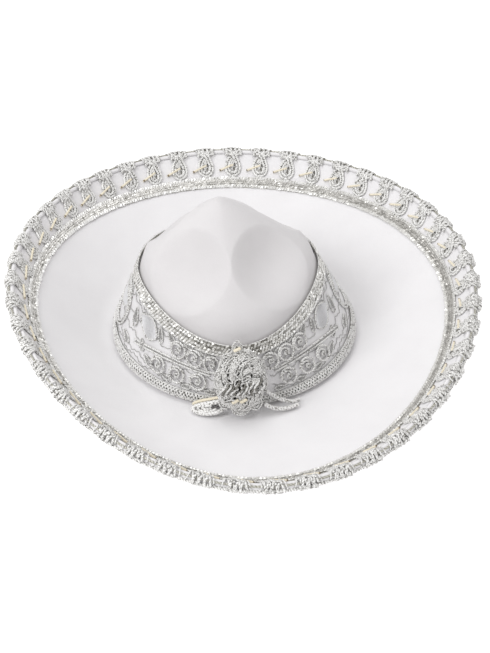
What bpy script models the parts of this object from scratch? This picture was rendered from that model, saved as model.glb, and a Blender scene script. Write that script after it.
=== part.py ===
"""A white felt charro sombrero with silver trim. It rests on the flat underside around its head opening.

The front faces -Y and +X is to the right of someone who looks at the front. The origin is on the
resting plane, under the middle of the brim.
"""

import math

import bmesh
import bpy
import numpy as np
from mathutils import Vector

# Driving dimensions, in metres. Angles run round the hat from the front (0) through +X (a quarter turn).
SIDES = 48
FELT = 0.0016
GAP = 0.0004

RIM_HALF_WIDTH, RIM_HALF_LENGTH = 0.2100, 0.2370
RING_HALF_WIDTH, RING_HALF_LENGTH = 0.1920, 0.2075
OPENING_HALF_WIDTH, OPENING_HALF_LENGTH = 0.1000, 0.0970
# The crown and the opening under it sit this far from the brim's middle, towards the left.
CROWN_X = -0.0077
BRIM_ROUNDNESS = 1.92
# The fold lies further out near the front, which makes the wall steeper there.
RING_BULGE, BULGE_ANGLE = 0.038, math.radians(-10.0)
RING_RISE, RIM_RISE = 0.0335, 0.0550
BACK_RISE, SADDLE_RISE, SIDE_RISE = 0.0055, 0.0145, 0.0060
FLAT_SHARE, DISH_POWER = 0.22, 1.15
FOLD_ROUNDING = 0.10

BASE_HALF_WIDTH, BASE_HALF_LENGTH = 0.1125, 0.1095
SHOULDER_HALF_WIDTH, SHOULDER_HALF_LENGTH = 0.0800, 0.0950
SHOULDER_ROUNDNESS = 1.76
SHOULDER_RISE, SHOULDER_SADDLE = 0.0700, 0.0092
CROWN_LEAN = -0.0056
# Share of the stretch above the band that stands upright, how far it leans in, and the height it takes.
UPRIGHT_SHARE, UPRIGHT_TUCK, UPRIGHT_HEIGHT = 0.18, 0.06, 0.22
PEAK_X, PEAK_RISE = CROWN_X - 0.0130, 0.1520
PEAK_ROUNDING, SHOULDER_ROUNDING = 0.10, 0.07
CROWN_FELT = 0.0020
DENT_ANGLE, DENT_REACH, DENT_RADIUS, DENT_DEPTH = 47.0, 0.40, 0.040, 0.013

BAND_LIFT, BAND_THICKNESS = 0.0005, 0.0010
BRAID_LIFT, BRAID_THICKNESS = 0.0020, 0.0022
TRIM_LIFT, RIBBON_THICKNESS, EDGING_THICKNESS = 0.0005, 0.0008, 0.0030
WIRE_RADIUS = 0.0008
ROPE_RADIUS = 0.0026
BINDING_REACH, BINDING_WALL = 0.0075, 0.0006
SWEATBAND_THICKNESS = 0.0009

ROSETTE_RADIUS, ROSETTE_THICKNESS = 0.0078, 0.0024
STEM_RADIUS = 0.0013
KNOT_RADII = (0.0275, 0.0105, 0.0290)
CORD_RADIUS = 0.0020

WHITE_FELT = ("white_felt", (0.86, 0.86, 0.88), 0.9, 0.0)
WHITE_SATIN = ("white_satin", (0.88, 0.88, 0.90), 0.45, 0.0)
SILVER_THREAD = ("silver_thread", (0.75, 0.75, 0.77), 0.30, 0.9)
SILVER_SEQUIN = ("silver_sequin", (0.72, 0.72, 0.72), 0.15, 1.0)
STEEL_WIRE = ("steel_wire", (0.55, 0.55, 0.56), 0.35, 1.0)
COTTON_TWILL = ("cotton_twill", (0.80, 0.78, 0.72), 0.85, 0.0)

THETA = np.linspace(0.0, 2.0 * np.pi, SIDES, endpoint=False)


def material(kind):
    """The material of this kind, made once with a Principled shader."""
    name, colour, roughness, metallic = kind
    found = bpy.data.materials.get(name)
    if found:
        return found
    made = bpy.data.materials.new(name)
    made.use_nodes = True
    shader = made.node_tree.nodes["Principled BSDF"]
    shader.inputs["Base Color"].default_value = (*colour, 1.0)
    shader.inputs["Roughness"].default_value = roughness
    shader.inputs["Metallic"].default_value = metallic
    made.diffuse_color = (*colour, 1.0)
    return made


def place(name, data, kind, parent=None):
    """A new object of this mesh or curve, in its material and, for a moving piece, under its pivot."""
    obj = bpy.data.objects.new(name, data)
    bpy.context.scene.collection.objects.link(obj)
    if not data.materials:
        data.materials.append(material(kind))
    if parent:
        obj.parent = parent
        obj.matrix_parent_inverse = parent.matrix_world.inverted()
    return obj


# ---------------------------------------------------------------- surfaces


def oval(theta, half_width, half_length, roundness=2.0, middle_x=0.0):
    """Points (x, y) of an oval. A roundness of 2 is an ellipse, and below 2 it turns towards a diamond."""
    across, along = np.sin(theta), -np.cos(theta)
    reach = (abs(across) ** roundness + abs(along) ** roundness) ** (-1.0 / roundness)
    return middle_x + half_width * reach * across, half_length * reach * along


def join(x, y, z):
    return np.stack(np.broadcast_arrays(x, y, z), axis=-1)


def brim_line(theta, s):
    """The brim's upper surface with a sharp fold: s is 0 at the opening, 1 at the fold and 2 at the rim."""
    sway = -BACK_RISE * np.cos(theta) - SADDLE_RISE * np.cos(2.0 * theta) - SIDE_RISE * np.sin(theta)
    top = 2.0 * FELT + GAP
    opening = oval(theta, OPENING_HALF_WIDTH, OPENING_HALF_LENGTH, middle_x=CROWN_X)
    bulge = 1.0 + RING_BULGE * (0.5 + 0.5 * np.cos(theta - BULGE_ANGLE)) ** 3
    ring = oval(theta, RING_HALF_WIDTH * bulge, RING_HALF_LENGTH * bulge, BRIM_ROUNDNESS)
    rim = oval(theta, RIM_HALF_WIDTH, RIM_HALF_LENGTH, BRIM_ROUNDNESS)
    plate, wall = np.clip(s, 0.0, 1.0), np.maximum(s - 1.0, 0.0)
    dish = np.clip((plate - FLAT_SHARE) / (1.0 - FLAT_SHARE), 0.0, 1.0) ** DISH_POWER
    x = opening[0] + (ring[0] - opening[0]) * plate + (rim[0] - ring[0]) * wall
    y = opening[1] + (ring[1] - opening[1]) * plate + (rim[1] - ring[1]) * wall
    z = top + (RING_RISE + sway - top) * dish + (RIM_RISE - RING_RISE) * wall
    return join(x, y, z)


def smoothed(line, theta, s, reach):
    """A surface whose folds are rounded by averaging it over a short stretch on both sides of each point."""
    steps = np.linspace(-reach, reach, 5)
    return sum(line(theta, s + step) for step in steps) / len(steps)


def brim(theta, s):
    """The brim's upper surface, with its fold rounded."""
    return smoothed(brim_line, theta, s, FOLD_ROUNDING)


def crown_line(theta, s):
    """The crown's outer surface without dents: s is 0 at the base, 1 at the band's top and 2 at the peak."""
    base = oval(theta, BASE_HALF_WIDTH, BASE_HALF_LENGTH, middle_x=CROWN_X)
    lean_x = CROWN_X + CROWN_LEAN
    shoulder = oval(theta, SHOULDER_HALF_WIDTH, SHOULDER_HALF_LENGTH, SHOULDER_ROUNDNESS, lean_x)
    wall, cap = np.minimum(s, 1.0), np.clip(s - 1.0, 0.0, 1.0)
    # Above the band the wall first stands nearly upright, then slopes to the rounded peak.
    upright = np.minimum(cap / UPRIGHT_SHARE, 1.0)
    slope = np.clip((cap - UPRIGHT_SHARE) / (1.0 - UPRIGHT_SHARE), 0.0, 1.0)
    inward = 1.0 - UPRIGHT_TUCK * upright - (1.0 - UPRIGHT_TUCK) * slope
    rounded = (np.sqrt((1.0 - slope) ** 2 + PEAK_ROUNDING**2) - PEAK_ROUNDING) / (
        math.sqrt(1.0 + PEAK_ROUNDING**2) - PEAK_ROUNDING
    )
    height = UPRIGHT_HEIGHT * upright + (1.0 - UPRIGHT_HEIGHT) * (1.0 - rounded)
    edge = SHOULDER_RISE - SHOULDER_SADDLE * np.cos(2.0 * theta)
    foot = 2.0 * FELT + 2.0 * GAP + CROWN_FELT * 0.45
    x = base[0] + (shoulder[0] - base[0]) * wall
    y = base[1] + (shoulder[1] - base[1]) * wall
    z = foot + (edge - foot) * wall
    x = np.where(s > 1.0, PEAK_X + (shoulder[0] - PEAK_X) * inward, x)
    y = np.where(s > 1.0, shoulder[1] * inward, y)
    z = np.where(s > 1.0, edge + (PEAK_RISE - edge) * height, z)
    return join(x, y, z)


def dent_centres():
    """Each dent's centre on the undented crown, and the unit direction in which the felt is pressed."""
    for quarter in (0, 1, 2, 3):
        turn = math.radians((DENT_ANGLE, 180.0 - DENT_ANGLE, 180.0 + DENT_ANGLE, -DENT_ANGLE)[quarter])
        centre = crown_line(np.array(turn), np.array(1.0 + DENT_REACH))
        outward = np.array([math.sin(turn), -math.cos(turn), 0.9])
        yield centre, -outward / np.linalg.norm(outward)


def crown(theta, s):
    """The crown's outer surface: rounded at the shoulder, with four round dents pressed in."""
    points = smoothed(crown_line, theta, s, SHOULDER_ROUNDING)
    for centre, press in dent_centres():
        away = np.linalg.norm(points - centre, axis=-1, keepdims=True) / DENT_RADIUS
        points = points + press * DENT_DEPTH * np.clip(1.0 - away**2, 0.0, 1.0) ** 1.3
    return points


def lifted(surface, theta, s, lift):
    """Points at this height above a surface, along its normal. A negative lift is below it."""
    step = 1e-4
    along = surface(theta, s + step) - surface(theta, s - step)
    around = surface(theta + step, s) - surface(theta - step, s)
    normal = np.cross(around, along)
    # Both surfaces look up on the whole, so the average tells which way the normals have to point.
    normal *= np.sign(normal[..., 2].mean()) / np.linalg.norm(normal, axis=-1, keepdims=True)
    return surface(theta, s) + lift * normal


# ---------------------------------------------------------------- solids


def slab(name, top, bottom, kind, wraps=True, capped=False, smooth=True, parent=None):
    """A closed solid between two grids of points, rows along and columns round.

    wraps joins the last column to the first. capped fills the last rows of the two grids, as at a peak,
    instead of joining them to each other.
    """
    rows, columns = top.shape[:2]
    shape = bmesh.new()
    upper = [[shape.verts.new(point) for point in row] for row in top]
    lower = [[shape.verts.new(point) for point in row] for row in bottom]
    spans = columns if wraps else columns - 1
    for i in range(rows - 1):
        for j in range(spans):
            k = (j + 1) % columns
            shape.faces.new((upper[i][j], upper[i][k], upper[i + 1][k], upper[i + 1][j]))
            shape.faces.new((lower[i][j], lower[i + 1][j], lower[i + 1][k], lower[i][k]))
    for j in range(spans):
        k = (j + 1) % columns
        shape.faces.new((upper[0][k], upper[0][j], lower[0][j], lower[0][k]))
        if not capped:
            shape.faces.new((upper[-1][j], upper[-1][k], lower[-1][k], lower[-1][j]))
    if capped:
        shape.faces.new(upper[-1])
        shape.faces.new(lower[-1])
    if not wraps:
        for i in range(rows - 1):
            shape.faces.new((upper[i][0], upper[i + 1][0], lower[i + 1][0], lower[i][0]))
            shape.faces.new((upper[i + 1][-1], upper[i][-1], lower[i][-1], lower[i + 1][-1]))
    bmesh.ops.recalc_face_normals(shape, faces=shape.faces)
    mesh = bpy.data.meshes.new(name)
    shape.to_mesh(mesh)
    shape.free()
    if smooth:
        mesh.shade_smooth()
        mesh.set_sharp_from_angle(angle=math.radians(40.0))
    return place(name, mesh, kind, parent)


def layer(name, surface, rows, low, high, kind, capped=False):
    """A ring-shaped layer on a surface, between two heights above it, with an edge loop at each s in rows."""
    theta, s = np.meshgrid(THETA, rows)
    return slab(name, lifted(surface, theta, s, high), lifted(surface, theta, s, low), kind, capped=capped)


def rim_profile(name, outline, kind):
    """A closed outline of (outward, up) points carried round the rim, square to the brim's edge."""
    edge = brim(THETA, np.full(SIDES, 2.0))
    outward = edge - brim(THETA, np.full(SIDES, 1.99))
    outward /= np.linalg.norm(outward, axis=-1, keepdims=True)
    around = np.roll(edge, -1, axis=0) - np.roll(edge, 1, axis=0)
    up = np.cross(outward, around)
    up *= np.sign(up[:, 2:]) / np.linalg.norm(up, axis=-1, keepdims=True)
    shape = bmesh.new()
    loops = [
        [shape.verts.new(edge[i] + out * outward[i] + rise * up[i]) for out, rise in outline]
        for i in range(SIDES)
    ]
    for i in range(SIDES):
        for j in range(len(outline)):
            k = (j + 1) % len(outline)
            ahead = loops[(i + 1) % SIDES]
            shape.faces.new((loops[i][j], loops[i][k], ahead[k], ahead[j]))
    bmesh.ops.recalc_face_normals(shape, faces=shape.faces)
    mesh = bpy.data.meshes.new(name)
    shape.to_mesh(mesh)
    shape.free()
    mesh.shade_smooth()
    mesh.set_sharp_from_angle(angle=math.radians(50.0))
    return place(name, mesh, kind)


def circle(out, rise, radius, sides):
    """The (outward, up) points of a round wire or rope."""
    turn = [2.0 * math.pi * i / sides for i in range(sides)]
    return [(out + radius * math.cos(t), rise + radius * math.sin(t)) for t in turn]


def tube(name, points, radius, kind, parent=None, sides=1):
    """A round cord along a list of points, with its ends closed."""
    curve = bpy.data.curves.new(name, "CURVE")
    curve.dimensions = "3D"
    curve.bevel_depth = radius
    curve.bevel_resolution = sides
    curve.use_fill_caps = True
    spline = curve.splines.new("POLY")
    spline.points.add(len(points) - 1)
    for spot, point in zip(spline.points, points):
        spot.co = (*point, 1.0)
    return place(name, curve, kind, parent)


def through(stops, count):
    """Evenly numbered points on the smooth Catmull-Rom curve through a route's stops."""
    stops = [Vector(stop) for stop in stops]
    ends = [2.0 * stops[0] - stops[1], *stops, 2.0 * stops[-1] - stops[-2]]
    points = []
    for i in range(count):
        place_on = i * (len(stops) - 1) / (count - 1)
        k = min(int(place_on), len(stops) - 2)
        t = place_on - k
        a, b, c, d = ends[k : k + 4]
        bend = 2.0 * a - 5.0 * b + 4.0 * c - d
        points.append(0.5 * (2.0 * b + (c - a) * t + bend * t**2 + (3.0 * b - a - 3.0 * c + d) * t**3))
    return points


# ---------------------------------------------------------------- felt and brim


CROWN_ROWS = (0.0, 0.50, 0.86, 0.93, 1.00, 1.08, 1.16, 1.24, 1.32, 1.40, 1.50, 1.60, 1.70, 1.82, 1.93, 1.985)
BRIM_ROWS = (0.0, 0.12, 0.22, 0.40, 0.65, 0.90, 0.975, 1.00, 1.05, 1.10, 1.50, 1.90)


def felt_pieces():
    """The dented crown, and the brim's two felt layers with the opening for the head."""
    layer("crown_felt", crown, CROWN_ROWS, -CROWN_FELT, 0.0, WHITE_FELT, capped=True)
    layer("brim_upper_felt", brim, BRIM_ROWS, -FELT, 0.0, WHITE_FELT)
    layer("brim_lower_felt", brim, BRIM_ROWS, -2.0 * FELT - GAP, -FELT - GAP, WHITE_FELT)


def rim_pieces():
    """The hoop wire in the brim's edge, the binding folded over it, and the rope sewn round the outside."""
    middle = -FELT - GAP / 2.0
    rim_profile("rim_hoop_wire", circle(-0.0018, middle, WIRE_RADIUS, 5), STEEL_WIRE)
    inner = FELT + GAP * 1.5
    outer = inner + BINDING_WALL
    binding = [
        (-BINDING_REACH, middle + outer),
        (0.0, middle + outer),
        (outer * 0.5, middle + outer * 0.5),
        (outer * 0.5, middle - outer * 0.5),
        (0.0, middle - outer),
        (-BINDING_REACH, middle - outer),
        (-BINDING_REACH, middle - inner),
        (-0.0006, middle - inner),
        (-0.0006, middle + inner),
        (-BINDING_REACH, middle + inner),
    ]
    rim_profile("rim_binding", binding, WHITE_SATIN)
    out = outer * 0.5 + 0.0003 + ROPE_RADIUS
    rim_profile("rim_twisted_rope", circle(out, middle, ROPE_RADIUS, 6), SILVER_THREAD)


def brim_trim():
    """The sequin ribbon that covers the fold, and the crocheted edging on the turned-up wall."""
    low, high = TRIM_LIFT, TRIM_LIFT + RIBBON_THICKNESS
    layer("sequin_ribbon", brim, (0.975, 1.00, 1.05, 1.10, 1.20), low, high, SILVER_SEQUIN)
    layer("crochet_edging", brim, (1.27, 1.69), low, low + EDGING_THICKNESS, SILVER_THREAD)


# ---------------------------------------------------------------- hatband


def band_pieces():
    """The satin band round the crown, with a braid along each edge, and the sweatband inside the opening."""
    layer("hatband", crown, (0.03, 0.50, 0.93), BAND_LIFT, BAND_LIFT + BAND_THICKNESS, WHITE_SATIN)
    high = BRAID_LIFT + BRAID_THICKNESS
    layer("band_upper_braid", crown, (0.86, 0.93, 1.00), BRAID_LIFT, high, SILVER_SEQUIN)
    layer("band_lower_braid", crown, (0.03, 0.16), BRAID_LIFT, high, SILVER_THREAD)
    inside = -CROWN_FELT - GAP
    layer("sweatband", crown, (0.03, 0.62), inside - SWEATBAND_THICKNESS, inside, COTTON_TWILL)


def facing(surface, theta, s, lift):
    """A place above a surface and the rotation that turns +Z along its normal."""
    low, high = (Vector(lifted(surface, np.array(theta), np.array(s), h)) for h in (lift, lift + 0.001))
    return low, (high - low).to_track_quat("Z", "Y")


def rosettes():
    """Coils of braid sewn to the band: a row above each stem and a row below it."""
    disc = bmesh.new()
    bmesh.ops.create_cone(
        disc,
        cap_ends=True,
        segments=12,
        radius1=ROSETTE_RADIUS,
        radius2=ROSETTE_RADIUS * 0.86,
        depth=ROSETTE_THICKNESS,
    )
    mesh = bpy.data.meshes.new("rosette")
    disc.to_mesh(mesh)
    disc.free()
    for side, turn in (("left", -1.0), ("right", 1.0)):
        for row, count, first, step, s, climb in ROSETTE_ROWS:
            for i in range(count):
                theta = turn * math.radians(first + step * i)
                spot, twist = facing(crown, theta, s + climb * i, BRAID_LIFT + ROSETTE_THICKNESS / 2.0)
                obj = place(f"{side}_{row}_rosette_{i + 1}", mesh, SILVER_THREAD)
                obj.location = spot
                obj.rotation_mode = "QUATERNION"
                obj.rotation_quaternion = twist


# Each row: name, rosettes on a side, first angle in degrees, step, s on the crown, change of s per rosette.
ROSETTE_ROWS = (
    ("upper", 3, 16.0, 10.2, 0.68, 0.01),
    ("lower", 3, 23.0, 11.5, 0.355, -0.005),
)
KNOT_TURN = math.radians(-1.5)
KNOT_HEIGHT = 0.58


STEM_TOP, STEM_FALL, STEM_CREST = 0.530, 0.07, 29.0


def stems():
    """Two double cords that leave the knot and run round each side of the band between the rosettes."""
    for side, turn in (("left", -1.0), ("right", 1.0)):
        degrees = np.linspace(17.0, 64.0, 16)
        theta = turn * np.radians(degrees)
        s = STEM_TOP - STEM_FALL * ((degrees - STEM_CREST) / 25.0) ** 2
        points = lifted(crown, theta, s, BRAID_LIFT + STEM_RADIUS)
        tube(f"{side}_stem_cord", points, STEM_RADIUS, SILVER_THREAD)


def leaf(name, turn, tip, root, s_root, s_tip, spread):
    """A flat leaf of couched thread on the band: it opens from its root and closes to a point at its tip."""
    along = np.linspace(0.0, 1.0, 7)[:, None]
    across = np.linspace(-1.0, 1.0, 4)[None, :]
    width = spread * (0.12 + np.sin(np.pi * along**0.8)) * across
    theta = turn * np.radians(root + (tip - root) * along) + 0.0 * across
    s = s_root + (s_tip - s_root) * along + width
    top = lifted(crown, theta, s, BRAID_LIFT + 0.0016)
    slab(name, top, lifted(crown, theta, s, BRAID_LIFT), SILVER_THREAD, wraps=False)


def leaves():
    """A long leaf and a fan-shaped leaf on each side of the band, past the rosettes."""
    for side, turn in (("left", -1.0), ("right", 1.0)):
        leaf(f"{side}_fan_leaf", turn, 68.0, 52.0, 0.66, 0.72, 0.09)
        leaf(f"{side}_long_leaf", turn, 112.0, 84.0, 0.58, 0.50, 0.10)
        leaf(f"{side}_back_leaf", turn, 150.0, 122.0, 0.52, 0.60, 0.10)


# ---------------------------------------------------------------- front knot


def knot():
    """The crocheted knot at the front of the band, a flattened ball that leans with the crown."""
    ball = bmesh.new()
    bmesh.ops.create_uvsphere(ball, u_segments=18, v_segments=10, radius=1.0)
    across, deep, tall = KNOT_RADII
    bmesh.ops.scale(ball, vec=Vector((across, tall, deep)), verts=ball.verts)
    mesh = bpy.data.meshes.new("front_knot")
    ball.to_mesh(mesh)
    ball.free()
    mesh.shade_smooth()
    obj = place("front_knot", mesh, SILVER_THREAD)
    spot, twist = facing(crown, KNOT_TURN, KNOT_HEIGHT, BRAID_LIFT + BRAID_THICKNESS + 0.0006 + deep)
    obj.location = spot
    obj.rotation_mode = "QUATERNION"
    obj.rotation_quaternion = twist


def pivot(name, spot):
    """The empty that stands on a hinge axis, and that the moving cord is parented to."""
    hinge = bpy.data.objects.new(name, None)
    bpy.context.scene.collection.objects.link(hinge)
    hinge.location = spot
    bpy.context.view_layer.update()
    return hinge


LOOP_PIVOT = (-0.0292, -0.1160, 0.0205)
LOOP_ROUTE = (
    (-0.0292, -0.1150, 0.0185),
    (-0.0347, -0.1140, 0.0165),
    (-0.0417, -0.1120, 0.0135),
    (-0.0487, -0.1100, 0.0105),
    (-0.0542, -0.1100, 0.0085),
    (-0.0557, -0.1130, 0.0078),
    (-0.0517, -0.1170, 0.0076),
    (-0.0447, -0.1200, 0.0080),
    (-0.0367, -0.1205, 0.0090),
    (-0.0302, -0.1190, 0.0110),
)
TAIL_PIVOT = (0.0053, -0.1170, 0.0210)
UPPER_TAIL_ROUTE = (
    (0.0088, -0.1135, 0.0240),
    (0.0153, -0.1145, 0.0190),
    (0.0233, -0.1145, 0.0135),
    (0.0313, -0.1130, 0.0095),
    (0.0388, -0.1100, 0.0080),
)
LOWER_TAIL_ROUTE = (
    (0.0063, -0.1220, 0.0170),
    (0.0133, -0.1220, 0.0120),
    (0.0213, -0.1210, 0.0090),
    (0.0293, -0.1190, 0.0080),
    (0.0373, -0.1160, 0.0078),
)


def free_cords():
    """The bow's loop and its two tails, which leave the knot, lie on the brim and lift off it at the knot."""
    loop_pivot = pivot("loop_pivot", LOOP_PIVOT)
    tube("bow_loop", through(LOOP_ROUTE, 18), CORD_RADIUS, SILVER_THREAD, loop_pivot, sides=2)
    tail_pivot = pivot("tail_pivot", TAIL_PIVOT)
    tube("upper_cord_tail", through(UPPER_TAIL_ROUTE, 8), CORD_RADIUS, SILVER_THREAD, tail_pivot, sides=2)
    tube("lower_cord_tail", through(LOWER_TAIL_ROUTE, 8), CORD_RADIUS, SILVER_THREAD, tail_pivot, sides=2)


def main():
    for obj in list(bpy.data.objects):
        bpy.data.objects.remove(obj, do_unlink=True)
    felt_pieces()
    rim_pieces()
    brim_trim()
    band_pieces()
    rosettes()
    stems()
    leaves()
    knot()
    free_cords()


main()
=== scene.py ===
# %% [markdown]
# # A white felt sombrero with silver trim
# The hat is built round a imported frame: every piece of the frame has a place and a body that it moves
# with. Here each piece gets its real surface: pressed felt, satin, foil flakes and crocheted silver cord.

# %% Load the frame
import math

import bpy
import numpy as np
from mathutils import Matrix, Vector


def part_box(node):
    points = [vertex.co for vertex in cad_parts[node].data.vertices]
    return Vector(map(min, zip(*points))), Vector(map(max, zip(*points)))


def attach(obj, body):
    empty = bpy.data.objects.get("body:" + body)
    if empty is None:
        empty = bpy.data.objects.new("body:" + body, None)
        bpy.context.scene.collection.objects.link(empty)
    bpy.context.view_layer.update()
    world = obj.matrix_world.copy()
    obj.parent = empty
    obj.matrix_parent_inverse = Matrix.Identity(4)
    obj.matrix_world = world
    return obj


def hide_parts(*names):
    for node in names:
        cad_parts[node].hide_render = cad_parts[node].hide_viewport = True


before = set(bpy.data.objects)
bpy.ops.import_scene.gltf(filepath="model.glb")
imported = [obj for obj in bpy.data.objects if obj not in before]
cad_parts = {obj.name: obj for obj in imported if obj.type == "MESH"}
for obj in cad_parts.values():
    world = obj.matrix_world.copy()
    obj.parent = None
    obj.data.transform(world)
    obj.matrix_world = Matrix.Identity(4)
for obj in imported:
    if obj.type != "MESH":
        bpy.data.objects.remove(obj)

TURN = 2.0 * math.pi
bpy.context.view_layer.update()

# %% [markdown]
# ## The camera and the light
# A hat is best seen from the front and from well above, where the crown, the dish of the brim and the
# trimmed rim all show. The camera stands about a metre and a half away with a long lens, so the near rim
# isn't much larger than the far one. The view is upright, and the lens counts along its long side.

# %% Camera
AZIMUTH, ELEVATION = math.radians(-6.0), math.radians(40.0)
DISTANCE, LENS, SENSOR = 1.4518, 84.9, 36.0
AIM_RIGHT, AIM_UP = 0.00201, 0.00321


def facing(right, up, back, place):
    """The matrix whose columns are an object's own X, Y and Z directions and its place."""
    columns = np.stack([right, up, back, place], axis=1)
    return Matrix(np.vstack([columns, [0.0, 0.0, 0.0, 1.0]]).tolist())


back = np.array([
    math.sin(AZIMUTH) * math.cos(ELEVATION),
    -math.cos(AZIMUTH) * math.cos(ELEVATION),
    math.sin(ELEVATION),
])
right = np.array([math.cos(AZIMUTH), math.sin(AZIMUTH), 0.0])
up = np.cross(back, right)
camera = bpy.data.objects.new("camera", bpy.data.cameras.new("camera"))
camera.data.lens, camera.data.sensor_width = LENS, SENSOR
camera.matrix_world = facing(right, up, back, back * DISTANCE + right * AIM_RIGHT + up * AIM_UP)
bpy.context.scene.collection.objects.link(camera)
bpy.context.scene.camera = camera
print("camera at", [round(value, 3) for value in camera.location])

# %% [markdown]
# ## How a finish is written
# A finish is a network of nodes. Written node by node it is hard to read, so a socket is wrapped in a
# small class whose operators add the Math nodes, and `Paint.node` makes every other kind of node. What
# is the same all over a surface is set on the shader itself and needs no node.

# %% Sockets that calculate
class Wire:
    """An output socket that can be used in a formula. Each operator adds one Math node."""

    def __init__(self, paint, socket):
        self.paint, self.socket = paint, socket

    def math(self, operation, *values):
        return self.paint.node("ShaderNodeMath", {"operation": operation}, dict(enumerate(values)))

    def __add__(self, other):
        return self.math("ADD", self, other)

    def __mul__(self, other):
        return self.math("MULTIPLY", self, other)

    __radd__ = __add__
    __rmul__ = __mul__

    def sine(self):
        return self.math("SINE", self)

    def between(self, low, high):
        """0 at low, 1 at high, straight in between."""
        return self.paint.node("ShaderNodeMapRange", {}, {"Value": self, "From Min": low, "From Max": high})


class Paint:
    """A material in the making, round one Principled shader."""

    def __init__(self, name, **constants):
        self.material = bpy.data.materials.new(name)
        self.material.use_nodes = True
        self.tree = self.material.node_tree
        self.shader = self.tree.nodes["Principled BSDF"]
        for socket, value in constants.items():
            self.shader.inputs[socket.replace("_", " ")].default_value = value

    def node(self, kind, settings=None, inputs=None, out=0):
        """A node of this kind, with its settings first and then its sockets, each a value or a Wire."""
        made = self.tree.nodes.new(kind)
        for name, value in (settings or {}).items():
            setattr(made, name, value)
        for name, value in (inputs or {}).items():
            if isinstance(value, Wire):
                self.tree.links.new(value.socket, made.inputs[name])
            else:
                made.inputs[name].default_value = value
        return Wire(self, made.outputs[out])

    def noise(self, place, scale, detail=2.0, roughness=0.5):
        inputs = {"Vector": place, "Scale": scale, "Detail": detail, "Roughness": roughness}
        return self.node("ShaderNodeTexNoise", {}, inputs)

    def mix(self, share, first, second):
        """The colour that lies this share of the way from the first colour to the second."""
        made = self.tree.nodes.new("ShaderNodeMix")
        made.data_type = "RGBA"
        for name, value in (("Factor_Float", share), ("A_Color", first), ("B_Color", second)):
            socket = next(item for item in made.inputs if item.identifier == name)
            if isinstance(value, Wire):
                self.tree.links.new(value.socket, socket)
            else:
                socket.default_value = (*value, 1.0) if name != "Factor_Float" else value
        return Wire(self, next(item for item in made.outputs if item.identifier == "Result_Color"))

    def place(self):
        """The point on the object, in metres."""
        return self.node("ShaderNodeTexCoord", {}, {}, "Object")

    def strip(self):
        """The two numbers of the piece's UV map, each as its own wire."""
        parts = self.node("ShaderNodeSeparateXYZ", {}, {"Vector": self.node("ShaderNodeUVMap")})
        node = parts.socket.node
        return Wire(self, node.outputs["X"]), Wire(self, node.outputs["Y"])

    def bump(self, height, distance, strength=1.0):
        inputs = {"Height": height, "Distance": distance, "Strength": strength}
        self.feed("Normal", self.node("ShaderNodeBump", {}, inputs))

    def feed(self, socket, wire):
        self.tree.links.new(wire.socket, self.shader.inputs[socket])


# %% [markdown]
# ## The felt
# Felt is a mat of short fibres, pressed until it is smooth. It has no weave: only a faint cloudiness
# where the mat is thicker, and a nap too fine to see as more than a soft edge of light. So the colour
# varies very little, in two sizes of cloud, and the bump is fine and shallow. A sheen set on the shader
# gives the nap its pale edge.

# %% White felt
def felt_paint(name, pale, shade):
    """Pressed felt that drifts between two close tones."""
    felt = Paint(name, Roughness=0.92, Sheen_Weight=0.25, Sheen_Roughness=0.5, Specular_IOR_Level=0.2)
    place = felt.place()
    clouds = felt.noise(place, 28.0, 4.0)
    fibres = felt.noise(place, 900.0, 3.0, 0.7)
    nap = felt.noise(place, 2600.0, 1.0)
    felt.feed("Base Color", felt.mix((clouds * 0.6 + fibres * 0.4).between(0.35, 0.65), shade, pale))
    felt.feed("Roughness", fibres * 0.12 + 0.84)
    felt.bump(fibres * 0.6 + nap * 0.4, 0.00025, 0.5)
    return felt.material


white_felt = felt_paint("white_felt", (0.840, 0.832, 0.842), (0.800, 0.790, 0.802))
# The crown is the same white felt as the brim, painted darker: painted shade on the crown's walls.
crown_felt = felt_paint("crown_felt", (0.695, 0.680, 0.686), (0.655, 0.640, 0.647))
under_felt = felt_paint("under_felt", (0.81, 0.80, 0.81), (0.76, 0.75, 0.76))
print("felt with", len(white_felt.node_tree.nodes), "nodes")

# %% [markdown]
# ## Surfaces from two numbers
# The crown and the brim are each a function of two numbers: the angle round the hat, 0 at the front,
# and `s`, how far up the piece a point lies. Every piece that is sewn on a surface uses the same
# function with a height above it, so nothing floats or sinks in.

# %% The brim's surface
# Sizes are in metres. Half widths run across the hat and half lengths from front to back.
FELT, GAP = 0.0016, 0.0004
RIM_HALF_WIDTH, RIM_HALF_LENGTH = 0.2100, 0.2370
RING_HALF_WIDTH, RING_HALF_LENGTH = 0.1920, 0.2075
OPENING_HALF_WIDTH, OPENING_HALF_LENGTH = 0.1000, 0.0970
# The crown and the opening under it sit this far from the brim's middle, towards the left.
CROWN_X = -0.0077
BRIM_ROUNDNESS = 1.92
# The fold lies further out near the front, which makes the wall steeper there.
RING_BULGE, BULGE_ANGLE = 0.038, math.radians(-10.0)
RING_RISE, RIM_RISE = 0.0335, 0.0550
BACK_RISE, SADDLE_RISE, SIDE_RISE = 0.0055, 0.0145, 0.0060
FLAT_SHARE, DISH_POWER = 0.22, 1.15
FOLD_ROUNDING = 0.10


def oval(theta, half_width, half_length, roundness=2.0, middle_x=0.0):
    """An oval: the sine and the cosine of the angle, scaled so that |x|^n + |y|^n = 1 at half size."""
    across, along = np.sin(theta), -np.cos(theta)
    reach = (abs(across) ** roundness + abs(along) ** roundness) ** (-1.0 / roundness)
    return middle_x + half_width * reach * across, half_length * reach * along


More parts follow.
